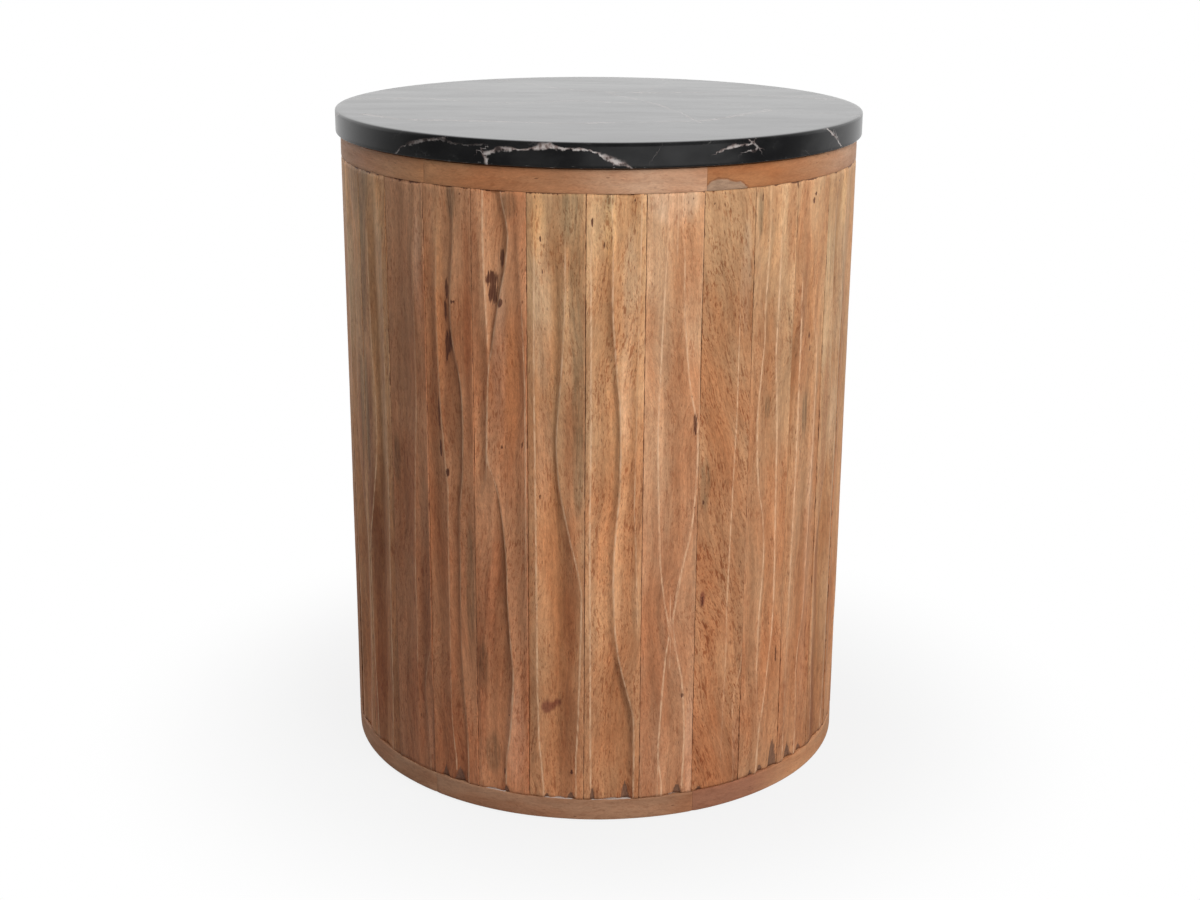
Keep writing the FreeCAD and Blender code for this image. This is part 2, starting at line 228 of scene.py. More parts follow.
class Wiring:
    """Short names for the nodes that the materials use."""

    def __init__(self, tree):
        self.tree = tree

    def feed(self, socket, value):
        """Links a socket to another one, or sets its value."""
        if isinstance(value, bpy.types.NodeSocket):
            self.tree.links.new(value, socket)
        else:
            socket.default_value = value

    def add(self, kind, inputs=(), **settings):
        """Makes a node and gives back its outputs."""
        made = self.tree.nodes.new("ShaderNode" + kind)
        for name, value in settings.items():
            setattr(made, name, value)
        for key, value in dict(inputs).items():
            self.feed(made.inputs[key], value)
        return made.outputs

    def surface(self, **sockets):
        """Feeds the sockets of the material's shader, named with _ for each space."""
        shader = self.tree.nodes["Principled BSDF"]
        for name, value in sockets.items():
            self.feed(shader.inputs[name.replace("_", " ")], value)

    def attribute(self, name, field="Fac"):
        return self.add("Attribute", attribute_name=name)[field]

    def position(self):
        return self.add("NewGeometry")["Position"]

    def math(self, operation, *values):
        return self.add("Math", enumerate(values), operation=operation)[0]

    def times(self, first, second):
        return self.math("MULTIPLY", first, second)

    def plus(self, first, second):
        return self.math("ADD", first, second)

    def minus(self, first, second):
        return self.math("SUBTRACT", first, second)

    def larger(self, first, second):
        return self.math("MAXIMUM", first, second)

    def sway(self, pattern, reach):
        """A pattern from 0 to 1 as a shift to both sides."""
        return self.times(self.minus(pattern, .5), reach)

    def vector_math(self, operation, *values):
        return self.add("VectorMath", enumerate(values), operation=operation)

    def pattern(self, name, vector):
        scale, detail, roughness, *shift = PATTERNS[name]
        stretched = self.vector_math("MULTIPLY_ADD", vector, scale, *shift)[0]
        inputs = {"Vector": stretched, "Scale": 1.0, "Detail": detail, "Roughness": roughness}
        return self.add("TexNoise", inputs)[0]

    def smooth_step(self, value, start, stop, low=0.0, high=1.0):
        inputs = {"Value": value, "From Min": start, "From Max": stop, "To Min": low, "To Max": high}
        return self.add("MapRange", inputs, interpolation_type="SMOOTHSTEP")[0]

    def ramp(self, name, value):
        return self.smooth_step(value, *RAMPS[name])

    def ramped_pattern(self, name, vector):
        """A pattern through the ramp of the same name."""
        return self.ramp(name, self.pattern(name, vector))

    def mix(self, share, first, second, blend="MIX"):
        return self.add("Mix", {0: share, 6: first, 7: second}, data_type="RGBA", blend_type=blend)[2]

    def bump(self, height, distance, strength=1.0):
        return self.add("Bump", {"Height": height, "Distance": distance, "Strength": strength})["Normal"]


def new_material(name):
    material = bpy.data.materials.new(name)
    material.use_nodes = True
    return material, Wiring(material.node_tree)


# Wood: bands, streaks and dark flecks along the grain, in the coordinates of the sawn block, so
# that a carved slope cuts across the layers. Marks of the carving come from the attributes.
# Pale line along the ridges: partly worn wood, partly a painted highlight
CREST_WEAR_AND_HIGHLIGHT = rgb(.80, .52, .325)
DARK_PORE = rgb(.105, .034, .013)
DARK_STAIN = rgb(.078, .021, .012)
# Painted shade: dark patches at the foot where the hollows run into the bottom hoop
FOOT_PAINTED_SHADE = rgb(.165, .088, .058)
FILLER_GREY = rgb(.345, .225, .150)
# Pale lines at the foot: partly glue and pooled finish, partly a painted highlight on the ledge
GLUE_AND_HIGHLIGHT_GREY = rgb(.62, .56, .52)
# Shades that multiply the wood's colour
LIGHT_CLOUD = rgb(1.10, 1.15, 1.12)
DARK_CLOUD = rgb(.97, .83, .70)
FLUSH_SHADE = rgb(1.10, 1.15, 1.22)
# Painted shade in the hollows, darker the deeper they are cut
DEEP_PAINTED_SHADE = rgb(.88, .79, .70)
GREY_SHADE = rgb(.60, .67, .70)
FLECK_SHADE = rgb(.60, .43, .34)
PALE_SHADE = rgb(1.16, 1.34, 1.62)
# How much a pattern darkens the wood at one end of its range and lightens it at the other
SHADED_RANGE = (.28, .72)
WEATHER_SHADING = (.16, .12)
BAND_SHADING = (.15, .11)
STREAK_SHADING = (.09, .07)
MOTTLE_SHADING = (.12, .09)
FIBRE_SHADING = (.09, .07)
FOOT_SHADING = (.32, .16)
FILLER_SHADING = (.28, .16)
# How far the grain strays, in metres
GRAIN_BENDS = {"wander": (.030, .010, 0), "ripple": (.0022, .0012, 0)}
PORE_SCALE = (560, 560, 150)
PORE_SHARE = .22
PORE_DARKNESS = .6
# How ragged the rims of marks are
RAGGED = 1.5
FRAYED = 1.4
FILLER_RAGGED = 2.2
# Relief of the grain, as shares of its bump
FIBRE_RISE = .5
STREAK_RISE = .4
FLECK_DENT = .6


def pores(wiring, grain, density):
    """Dark vessels along the grain: some of the cells of a stretched pattern."""
    stretched = wiring.vector_math("MULTIPLY", grain, PORE_SCALE)[0]
    cells = wiring.add("TexVoronoi", {"Vector": stretched, "Scale": 1.0})
    drawn = wiring.add("SeparateColor", {0: cells["Color"]})
    chosen = wiring.math("LESS_THAN", drawn[0], wiring.times(density, PORE_SHARE))
    strength = wiring.times(chosen, wiring.ramp("pore strength", drawn[1]))
    return wiring.times(wiring.ramp("pore", cells["Distance"]), strength)


def wood_material(name, figure):
    """Carved wood, whose figure shows from not at all at 0 to fully at 1."""
    material, wiring = new_material(name)

    def tinted(colour, shade, share=1.0):
        return wiring.mix(share, colour, shade, "MULTIPLY")

    def shaded(colour, pattern, shading, strength=1.0):
        darker, lighter = shading
        return tinted(colour, wiring.smooth_step(
            pattern, *SHADED_RANGE, 1 - darker * strength, 1 + lighter * strength))

    block = wiring.attribute("block", "Vector")
    grain = block
    for bend, reach in GRAIN_BENDS.items():
        grain = wiring.vector_math("MULTIPLY_ADD", wiring.pattern(bend, block), reach, grain)[0]
    streaks = wiring.pattern("streaks", grain)
    mottle = wiring.pattern("mottle", grain)
    fibres = wiring.pattern("fibres", grain)
    broken = wiring.pattern("broken", grain)
    threads = wiring.pattern("threads", grain)
    carve = wiring.attribute("carve")
    tint = wiring.attribute("tint", "Color")

    clouds = wiring.ramped_pattern("wood clouds", block)
    colour = wiring.mix(clouds, tinted(tint, LIGHT_CLOUD), tinted(tint, DARK_CLOUD))
    colour = shaded(colour, wiring.pattern("weather", block), WEATHER_SHADING, figure)
    colour = tinted(colour, FLUSH_SHADE, wiring.times(wiring.ramp("flush", carve), figure))
    # Painted shade: the deeper the hollow, the darker
    colour = tinted(colour, DEEP_PAINTED_SHADE, wiring.ramp("deep", carve))
    colour = shaded(colour, wiring.pattern("bands", grain), BAND_SHADING, figure)
    colour = shaded(colour, streaks, STREAK_SHADING, figure)
    colour = shaded(colour, mottle, MOTTLE_SHADING, figure)
    colour = shaded(colour, fibres, FIBRE_SHADING)

    density = wiring.times(wiring.attribute("pores"), wiring.ramped_pattern("patches", block))
    fleck = wiring.larger(wiring.ramped_pattern("flecks", grain), wiring.ramped_pattern("specks", grain))
    fleck = wiring.times(fleck, wiring.math("MINIMUM", density, 1.0))
    colour = tinted(colour, FLECK_SHADE, fleck)
    pore = pores(wiring, grain, density)
    colour = wiring.mix(wiring.times(pore, PORE_DARKNESS), colour, DARK_PORE)

    bloom = wiring.attribute("bloom")
    greyed = wiring.times(wiring.ramp("grey", bloom), wiring.ramp("grey streaks", streaks))
    colour = tinted(colour, GREY_SHADE, greyed)
    colour = tinted(colour, PALE_SHADE, wiring.ramp("pale", bloom))
    # Pale line along the ridges: partly worn wood, partly a painted highlight
    crest = wiring.times(wiring.ramp("crest", wiring.attribute("crest")), wiring.ramp("crest breaks", broken))
    colour = wiring.mix(crest, colour, CREST_WEAR_AND_HIGHLIGHT)

    ragged = wiring.sway(broken, RAGGED)
    frayed = wiring.plus(ragged, wiring.sway(threads, FRAYED))
    stain = wiring.ramp("stain", wiring.plus(wiring.attribute("stain"), frayed))
    colour = wiring.mix(wiring.times(stain, wiring.ramp("stain threads", threads)), colour, DARK_STAIN)
    # Painted shade in dark patches at the foot, where the hollows end
    foot = wiring.ramp("foot", wiring.plus(wiring.attribute("foot"), frayed))
    colour = wiring.mix(foot, colour, shaded(FOOT_PAINTED_SHADE, mottle, FOOT_SHADING))
    # Pale line at the foot: partly glue, partly a painted highlight
    glue_and_highlight = wiring.ramp("glue_and_highlight", wiring.plus(wiring.attribute("glue_and_highlight"), ragged))
    colour = wiring.mix(glue_and_highlight, colour, GLUE_AND_HIGHLIGHT_GREY)
    filler = wiring.plus(wiring.attribute("filler"), wiring.times(ragged, FILLER_RAGGED))
    outline = wiring.times(wiring.ramp("filler outside", filler), wiring.ramp("filler inside", filler))
    colour = wiring.mix(outline, colour, DARK_STAIN)
    colour = wiring.mix(wiring.ramp("filler", filler), colour, shaded(FILLER_GREY, mottle, FILLER_SHADING))

    rise = wiring.plus(wiring.times(fibres, FIBRE_RISE), wiring.times(streaks, STREAK_RISE))
    dent = wiring.larger(pore, wiring.times(fleck, FLECK_DENT))
    wiring.surface(Base_Color=colour, Roughness=wiring.ramp("wood gloss", streaks), Specular_IOR_Level=.40,
                   Normal=wiring.bump(wiring.minus(rise, dent), distance=.00025, strength=.8))
    return material


DARK_STONE = rgb(.004, .004, .0045)
PALE_STONE = rgb(.017, .017, .0175)
HAIR_GREY = rgb(.30, .29, .28)
BROWN_VEIN = rgb(.33, .23, .205)
PALE_VEIN = rgb(.50, .46, .44)
CHIP_WHITE = rgb(.46, .44, .42)
VEIN_RAGGED = 6.5
VEIN_ROUGHNESS = .12


def marble_material():
    material, wiring = new_material("black_marble")
    place = wiring.position()
    clouds = wiring.pattern("stone clouds", place)
    colour = wiring.mix(wiring.ramp("stone clouds", clouds), DARK_STONE, PALE_STONE)
    off_hair = wiring.math("ABSOLUTE", wiring.minus(wiring.pattern("hairs", place), .5))
    hair = wiring.times(wiring.ramp("hair", off_hair), wiring.ramp("hair clouds", clouds))
    colour = wiring.mix(hair, colour, HAIR_GREY)

    ragged = wiring.pattern("ragged vein", place)
    off_line = wiring.plus(wiring.attribute("vein"), wiring.sway(ragged, VEIN_RAGGED))
    width = wiring.times(wiring.attribute("vein_width"), wiring.ramped_pattern("swelling", place))
    vein = wiring.ramp("vein", wiring.math("DIVIDE", wiring.math("ABSOLUTE", off_line), width))
    strength = wiring.times(wiring.ramped_pattern("vein breaks", place), wiring.attribute("vein_here"))
    vein = wiring.times(vein, strength)
    colour = wiring.mix(vein, colour, wiring.mix(wiring.ramp("vein colour", ragged), BROWN_VEIN, PALE_VEIN))

    height = wiring.add("SeparateXYZ", {0: place})["Z"]
    chip = wiring.times(wiring.ramped_pattern("chips", place), wiring.ramp("chip height", height))
    colour = wiring.mix(chip, colour, CHIP_WHITE)
    smear = wiring.ramp("stone gloss", wiring.pattern("smear", place))
    roughness = wiring.plus(smear, wiring.times(vein, VEIN_ROUGHNESS))
    wiring.surface(Base_Color=colour, Roughness=roughness, IOR=1.6,
                   Normal=wiring.bump(wiring.pattern("polish", place), distance=.00003, strength=.6))
    return material


def plain_wood_material(name, pattern, dark, pale):
    material, wiring = new_material(name)
    grain = wiring.pattern(pattern, wiring.position())
    wiring.surface(Base_Color=wiring.mix(wiring.ramp("plain", grain), dark, pale),
                   Roughness=wiring.ramp("plain gloss", grain), Normal=wiring.bump(grain, distance=.0002))
    return material


def silicone_material():
    material, wiring = new_material("clear_silicone")
    haze = wiring.pattern("haze", wiring.position())
    wiring.surface(Base_Color=wiring.mix(haze, rgb(.80, .81, .80), rgb(.90, .90, .88)),
                   Roughness=wiring.ramp("silicone gloss", haze), Transmission_Weight=.7)
    return material


def felt_material():
    material, wiring = new_material("glide_felt")
    fluff = wiring.pattern("fluff", wiring.position())
    colour = wiring.mix(wiring.ramp("plain", fluff), rgb(.05, .045, .04), rgb(.14, .12, .10))
    wiring.surface(Base_Color=colour, Roughness=.95, Sheen_Weight=.3,
                   Normal=wiring.bump(fluff, distance=.0004))
    return material


# Carvings: lines down a stave as (height, share across). A hollow has a left edge, a deepest line,
# a right edge, and depths as (height, millimetres). Edges past 0 or 1 cut into the stave's side.
LEFT_SIDE = ((540, -.04),)
RIGHT_SIDE = ((540, 1.04),)

SICKLE_LEFT = ((535, .34), (500, .29), (450, .25), (410, .26), (350, .32), (313, .39), (290, .45),
               (260, .435), (90, .43), (60, .47), (40, .53))
SICKLE_RIGHT = ((535, .61), (515, .645), (490, .63), (455, .556), (430, .55), (405, .63), (385, .73),
                (370, .77), (340, .78), (300, .76), (270, .69), (160, .67), (130, .69), (100, .73),
                (60, .79))
HOOK_LEFT = ((535, .226), (500, .22), (470, .235), (440, .27), (400, .30))
HOOK_RIDGE = ((537, .55), (508, .69), (480, .63), (455, .51), (440, .45), (410, .35), (390, .29),
              (345, .26), (318, .25), (298, .43), (265, .54), (225, .605), (200, .605), (165, .65),
              (130, .72), (75, .65), (50, .56))
HOOK_LOWER = ((300, .41), (280, .36), (245, .34), (215, .27), (180, .22), (155, .145), (120, .05),
              (30, .08))
HOOK_RIGHT = ((520, .80), (490, .855), (440, .92), (390, .96), (330, .97), (100, .95))
PLUMB_LEFT = ((520, .133), (400, .12), (285, .14), (130, .16), (70, .19), (55, .226), (30, .27))
PLUMB_LOW = ((520, .44), (450, .49), (360, .45), (330, .44), (300, .49), (250, .53), (100, .53),
             (20, .56))
PLUMB_RIGHT = ((530, .60), (510, .66), (450, .65), (400, .60), (340, .50), (310, .53), (295, .57),
               (250, .77), (230, .88), (210, .95), (180, .945), (90, .895), (60, .86))
BEND_LEFT = ((535, .08), (340, .10), (280, .085), (100, .11), (20, .126))
BEND_MIDDLE = ((540, .41), (500, .454), (450, .445), (415, .496), (370, .59), (330, .613), (295, .597),
               (272, .555), (245, .51), (215, .50), (175, .534), (150, .605), (128, .714), (98, .887),
               (55, .90))
BEND_RIGHT = ((535, .92), (495, .91), (280, .853), (245, .895), (170, .94))
CROSS_LEFT = ((512, .38), (480, .34), (440, .306), (370, .258), (340, .25), (310, .262), (245, .31),
              (225, .343), (200, .41), (170, .536))
CROSS_RIGHT = ((515, .617), (490, .67), (460, .665), (440, .685), (412, .742), (388, .79), (370, .863),
               (350, .968), (315, .976), (280, .935), (255, .875), (235, .758), (210, .645), (180, .556),
               (170, .54))
CROSS_LOWER_LEFT = ((170, .524), (160, .49), (148, .45), (120, .41), (90, .37), (68, .343), (50, .36),
                    (32, .42))
CROSS_LOWER_RIGHT = ((170, .536), (150, .657), (130, .758), (95, .823), (70, .835), (50, .823), (20, .79))
CROSS_SIDE = ((320, .99), (280, .945), (255, .885), (235, .768), (180, .566), (150, .667), (130, .768),
              (95, .833))
BROAD_RIDGE = ((535, .735), (350, .73), (295, .69), (260, .67), (185, .63), (150, .645), (115, .63),
               (50, .585))
FORK_SHORT = ((535, .03), (490, .08), (460, .14), (440, .21), (415, .296))
FORK_MIDDLE = ((530, .32), (500, .34), (470, .32), (440, .28), (415, .296), (370, .21), (350, .18),
               (310, .21), (280, .28), (265, .374), (230, .443), (205, .426), (170, .365), (120, .357),
               (90, .40), (62, .45))
FORK_RIGHT = ((535, .62), (460, .61), (400, .574), (370, .626), (330, .67), (260, .704), (200, .74),
              (175, .74), (150, .713), (115, .626), (80, .54), (62, .46))
FORK_FOOT = ((62, .46), (55, .51), (40, .60), (25, .71))
KNOT_LEFT = ((480, .20), (400, .24), (300, .24), (130, .16))
KNOT_RIDGE = ((470, .52), (440, .547), (415, .65), (395, .786), (360, .80), (285, .76), (200, .69),
              (160, .675), (120, .52), (100, .50), (70, .547))


def beside(line, shift):
    return tuple((height, across + shift) for height, across in line)


HOLLOWS = {
    "plumb_line": (
        (PLUMB_LEFT, PLUMB_LOW, PLUMB_RIGHT,
         ((528, 0), (490, 2.8), (420, 4.4), (340, 3.8), (280, 5.4), (200, 6.0), (100, 5.2), (45, 4.6),
          (20, 6))),
        (LEFT_SIDE, ((540, .0),), PLUMB_LEFT, ((525, 0), (400, .8), (20, 1.8))),
    ),
    "broad": (
        (LEFT_SIDE, ((540, .34), (300, .38), (20, .33)), BROAD_RIDGE,
         ((539, .4), (480, 1.8), (350, 2.8), (200, 2.6), (100, 2.2), (20, 1.5))),
        (BROAD_RIDGE, ((540, .90), (100, .76), (20, .72)),
         ((540, 1.04), (130, 1.0), (100, .81), (50, .86)),
         ((520, 0), (300, 1.3), (120, 2.2), (50, 1.6), (20, 1.0))),
        (((110, .82), (50, .87)), ((110, .95),), RIGHT_SIDE, ((125, 0), (80, 1.6), (20, 2.2))),
    ),
    "long_bend": (
        (BEND_LEFT, beside(BEND_MIDDLE, -.12), BEND_MIDDLE,
         ((540, 1.2), (500, 2.4), (420, 3.6), (330, 4.6), (250, 3.6), (180, 3.6), (120, 5), (60, 5),
          (20, 6.5))),
        (BEND_MIDDLE, ((540, .72), (330, .77), (240, .74), (150, .82)), BEND_RIGHT,
         ((540, 2.6), (450, 2.4), (370, 1.8), (260, 2.6), (180, 2.2), (140, 1.0), (112, 0))),
        (BEND_RIGHT, ((540, .99),), RIGHT_SIDE, ((520, 0), (300, .5), (150, .4), (110, 0))),
    ),
    "sickle": (
        (SICKLE_LEFT, beside(SICKLE_RIGHT, -.09), SICKLE_RIGHT,
         ((540, 1), (510, 2.1), (440, 2.4), (380, 2.8), (300, 2.4), (150, 2.0), (60, 2.4), (20, 4))),
        (LEFT_SIDE, ((540, .12), (200, .16), (20, .24)), SICKLE_LEFT,
         ((530, 0), (480, 1.6), (350, 2.8), (200, 2.2), (60, 1.8), (20, 3.6))),
        (SICKLE_RIGHT, ((540, .88),), RIGHT_SIDE,
         ((530, 0), (450, 1.4), (300, 1.0), (150, 1.2), (30, .4))),
    ),
    "crossing": (
        (CROSS_LEFT, ((515, .5), (440, .52), (350, .68), (300, .66), (230, .56), (170, .53)), CROSS_RIGHT,
         ((518, 0), (480, 2.0), (400, 2.8), (320, 3.4), (240, 2.4), (185, .8), (168, 0))),
        (CROSS_LOWER_LEFT, ((170, .53), (120, .58), (70, .62), (20, .68)), CROSS_LOWER_RIGHT,
         ((172, 0), (140, 1.4), (90, 2.8), (40, 3.2), (20, 5.6))),
        (LEFT_SIDE, ((540, .12), (200, .17)),
         CROSS_LEFT + ((160, .47), (120, .40), (68, .335), (20, .34)),
         ((505, 0), (420, 1.2), (300, 1.6), (180, 2.4), (90, 2.0), (30, .3))),
        (CROSS_RIGHT, ((540, .90), (350, 1.02)), RIGHT_SIDE,
         ((510, 0), (440, 1.4), (390, 1.2), (352, 0))),
        (CROSS_SIDE, ((320, 1.0), (230, .86), (170, .78), (100, .90)), RIGHT_SIDE,
         ((318, 0), (250, 1.4), (170, 2.0), (60, .5))),
    ),
    "fork": (
        (FORK_SHORT, ((540, .19), (420, .28)), FORK_MIDDLE,
         ((540, 1.6), (500, 2.2), (440, 1.4), (420, 0))),
        (FORK_MIDDLE, beside(FORK_RIGHT, -.13), FORK_RIGHT,
         ((536, .4), (480, 3), (400, 3), (330, 3.6), (250, 3), (180, 3.4), (100, 2.2), (64, 0))),
        (FORK_RIGHT, ((540, .82), (200, .90), (62, .74)), RIGHT_SIDE,
         ((535, .4), (400, 2.2), (250, 2.2), (120, 2.6), (60, 3), (20, 4.2))),
        (LEFT_SIDE, ((540, .06), (280, .16), (60, .20)), FORK_MIDDLE,
         ((415, 0), (350, 1.2), (280, 2), (200, 2.2), (100, 1.6), (20, 2.4))),
        (((62, .44), (20, .42)), ((62, .47), (20, .54)), FORK_FOOT, ((64, 0), (45, 1.6), (20, 5))),
    ),
    "knot": (
        (LEFT_SIDE, ((540, .09),), KNOT_LEFT,
         ((500, 0), (460, 2.2), (400, 4.2), (300, 4.4), (200, 3.4), (120, 0))),
        (KNOT_LEFT, ((480, .42), (395, .66), (250, .62), (120, .42), (20, .36)), KNOT_RIDGE,
         ((490, 0), (440, 1.8), (400, 2.8), (300, 2.8), (200, 2.4), (100, 2.0), (45, 2.2), (20, 5))),
        (KNOT_RIDGE, ((480, .8), (395, .92), (200, .86), (60, .76)), RIGHT_SIDE,
         ((480, 0), (420, 1.6), (300, 1.4), (160, 2.6), (60, 2.2), (20, 3.2))),
    ),
    "hook": (
        (HOOK_LEFT, ((540, .42), (508, .56), (480, .52), (455, .43), (430, .36), (400, .31)), HOOK_RIDGE,
         ((540, 2.6), (508, 4.6), (450, 4.6), (420, 2.6), (396, 0))),
        (HOOK_RIDGE, ((510, .78), (400, .74), (330, .70), (290, .76), (150, .86)), HOOK_RIGHT,
         ((525, 0), (480, 2.0), (400, 2.8), (320, 2.9), (250, 2.2), (150, 1.4), (55, 0))),
        (HOOK_LOWER,
         ((300, .42), (275, .45), (245, .51), (200, .53), (165, .56), (130, .58), (75, .50), (20, .42)),
         HOOK_RIDGE, ((306, 0), (280, 3), (245, 5), (200, 5.6), (150, 5), (75, 4), (20, 6))),
        (LEFT_SIDE, ((540, .10),), HOOK_LEFT + ((345, .25), (300, .24), (280, .1)),
         ((480, 0), (420, 1.6), (320, 3.2), (292, 1), (280, 0))),
        (LEFT_SIDE, ((540, .02),), ((150, .13), (120, .05), (30, .07)), ((160, 0), (100, .8), (20, 1.2))),
    ),
}

# Pointed patches of painted shade at the foot, where hollows meet the hoop: left edge, right edge, height of
# the point
FOOT_PATCHES = {
    "plumb_line": ((.27, .38, 24), (.68, .86, 27)),
    "broad": ((.08, .22, 25),),
    "long_bend": ((.11, .20, 33), (.66, .84, 36)),
    "sickle": ((.16, .34, 30), (.46, .72, 33), (-.09, .0, 40)),
    "crossing": ((.63, .82, 30),),
    "fork": ((.24, .36, 26), (.46, .66, 27), (.76, 1.02, 46)),
    "knot": ((.22, .50, 34), (.64, .86, 28)),
    "hook": ((.48, .64, 27),),
}

# Spots: share across, height, half width, half height in millimetres
STAINS = {
    "plumb_line": ((.78, 46, 2, 2.4), (.24, 504, .9, 2.2), (.22, 292, .8, 2), (.27, 478, .7, 2.4)),
    "broad": ((.14, 196, 1.0, 5), (.11, 283, 1.2, 2.6), (.40, 539, 4, .8), (.18, 530, .9, 1.2)),
    "long_bend": ((.10, 518, 1, 3.4), (.20, 539.4, 6, .7), (.52, 539.4, 8, .7), (.93, 538.6, 3, 1.1),
                  (.30, 500, .8, 3)),
    "sickle": ((.47, 457, 1.8, 9), (.46, 410, 2.3, 14), (.44, 440, 1.4, 11), (.53, 412, 2.3, 12),
               (.61, 447, 2.4, 1.8), (.27, 350, 1.3, 15), (.45, 302, 2, 3.6), (.29, 322, 1.5, 7)),
    "crossing": ((.92, 352, 1.5, 9.5), (.78, 113, 1.8, 2.6), (.44, 49, .9, 1.2), (.80, 536, .9, 1.2),
                 (.13, 538.6, 2.4, 1.1), (.94, 280, .9, 1.6)),
    "fork": ((.89, 128, .9, 9), (.16, 531, .9, 4), (.17, 539, 1.5, 1.2), (.98, 537, 1, 3)),
    "knot": ((.46, 522, 1.9, 2.4), (.52, 527, 1.7, 1.6), (.55, 408, 1.8, 4), (.60, 396, 1.3, 2.6)),
    "hook": ((.38, 458, 3.8, 11), (.36, 470, 5.0, 6), (.55, 487, 2.6, 9), (.53, 451, 3.0, 3.6),
             (.53, 331, 1.6, 1.8), (.90, 335, 1, 3.4), (.62, 93, .9, 1.4), (.53, 40, 1, 3.4),
             (.30, 27, .9, 1.2)),
}
FAINT_STAINS = {
    "plumb_line": ((.33, 105, 5.6, 6.4), (.43, 106, 3.6, 4.2), (.52, 109, 3.6, 4.2)),
    "broad": ((.14, 198, 2.8, 8),),
}
BLOOMS = {
    "plumb_line": ((.78, 535, 13, 50), (.86, 470, 9, 90), (.88, 400, 7, 90), (.88, 330, 6, 70)),
    "broad": ((.15, 300, 6, 30),),
    "long_bend": ((.40, 540, 4, 16),),
    "sickle": ((.60, 530, 6, 20), (.88, 200, 5, 80)),
    "fork": ((.12, 520, 4, 26), (.46, 355, 4, 13)),
    "knot": ((.5, 340, 6, 25),),
    "hook": ((.12, 135, 6, 30), (.70, 530, 8, 14), (.30, 55, 9, 24)),
}
PALE_BLOOMS = {
    "crossing": ((.45, 535, 26, 26), (.95, 60, 6, 70)),
    "long_bend": ((.75, 460, 8, 70), (.70, 380, 7, 60)),
    "broad": ((.85, 470, 6, 60), (.94, 55, 6, 38)),
    "plumb_line": ((.28, 440, 9, 90), (.30, 330, 8, 60)),
    "hook": ((.50, 420, 8, 90), (.75, 75, 12, 60)),
    "knot": ((.78, 200, 9, 170),),
}
LIGHT_BLOOMS = {
    "sickle": ((.31, 440, 6, 120),),
    "hook": ((.72, 385, 9, 70),),
    "plumb_line": ((.20, 516, 8, 36),),
    "long_bend": ((.40, 512, 6, 40),),
}
# Darker patches: partly a darker tone of the wood, partly painted shade on slopes turned from the light and
# at the foot of the hollows
DARK_TONE_AND_SHADE_BLOOMS = {
    "plumb_line": ((.75, 340, 8, 70), (.76, 220, 9, 110), (.74, 60, 12, 100), (.75, 24, 6, 12)),
    "hook": ((.10, 120, 6, 90), (.06, 470, 6, 80), (.50, 22, 5, 12), (.40, 226, 6, 44),
             (.28, 188, 8, 58)),
    "long_bend": ((.22, 25, 5, 11), (.82, 25, 5, 12)),
    "sickle": ((.25, 23, 6, 10), (.57, 22, 7, 10), (.90, 430, 5, 120)),
    "knot": ((.22, 475, 13, 120),),
    "fork": ((.86, 515, 8, 55),),
}
# Dirt in the joint to the right of a stave: how dark it is, and how much less it is further in
SEAMS = {-3: .10, -2: .10, -1: .28, 0: .24, 1: .08, 2: .06}
PLAIN_SEAM = .02
SEAM_FALL = .14
# A dark line along the top end: strength, length of its breaks, step from stave to stave, seed
TOP_LINE = (1.1, 7, 5.7, 43)
# Pale lines at the foot of the staves: partly glue, partly a painted highlight
GLUE_AND_HIGHLIGHT_LINES = {
    "hook": ((.28, STAVE_FOOT, 9, 1.5),),
    "plumb_line": ((.55, STAVE_FOOT, 8, 1.5),),
    "long_bend": ((.50, STAVE_FOOT, 11, 1.5),),
    "crossing": ((.64, STAVE_FOOT, 5, 1.5),),
}
# Angle and height of the small holes that the brads left
PIN_HOLES = ((-46, 526), (-28.8, 535), (-17, 534), (-12.3, 529), (7.3, 535), (63, 532), (88, 530),
             (112, 535), (139, 528), (166, 533), (188, 529), (214, 535), (241, 531), (268, 527),
             (292, 534))
PIN_HOLE_SIZE = (.9, 1.6)

# Draws for the staves behind: a seed, and what a mark's value, from -1 to 1, has to pass
PATCH_DRAW = (41, .2)
STAIN_DRAW = (42, .45)
BLOOM_DRAW = (49, .1)
EACH_STAVE = (0, -2)
FRONT_STAVES = (0, 1)
# How quickly a spot fills from its rim
SOFT = 1.8
FIRM = 4

# Carvings of the staves in front, by their place from left to right, and those that repeat behind,
# each with whether it is in mirror image
FRONT = {-3: "sickle", -2: "hook", -1: "plumb_line", 0: "long_bend", 1: "crossing", 2: "broad", 3: "fork",
         4: "knot"}
BEHIND = (("plumb_line", True), ("broad", False), ("sickle", True), ("broad", True),
          ("plumb_line", False))

# Wood tones
TONES = {
    "honey": (.540, .273, .138),
    "tan": (.495, .250, .130),
    "rosy": (.500, .246, .132),
    "amber": (.450, .214, .105),
    "russet": (.490, .214, .106),
    "walnut": (.430, .190, .097),
    "straw": (.497, .274, .147),
}
# How much paler a tone is at the top, as painted light from above, and darker at the foot, as painted shade
PAINTED_TOP_LIGHT_FOOT_SHADE = np.array([.065, .15, .19])
FRESH_PAINTED_TOP_LIGHT = np.array([.105, .25, .29])
DULL_TONES = ("russet", "walnut")
PAINTED_LIGHT_MIDDLE = 280
PAINTED_LIGHT_REACH = 240
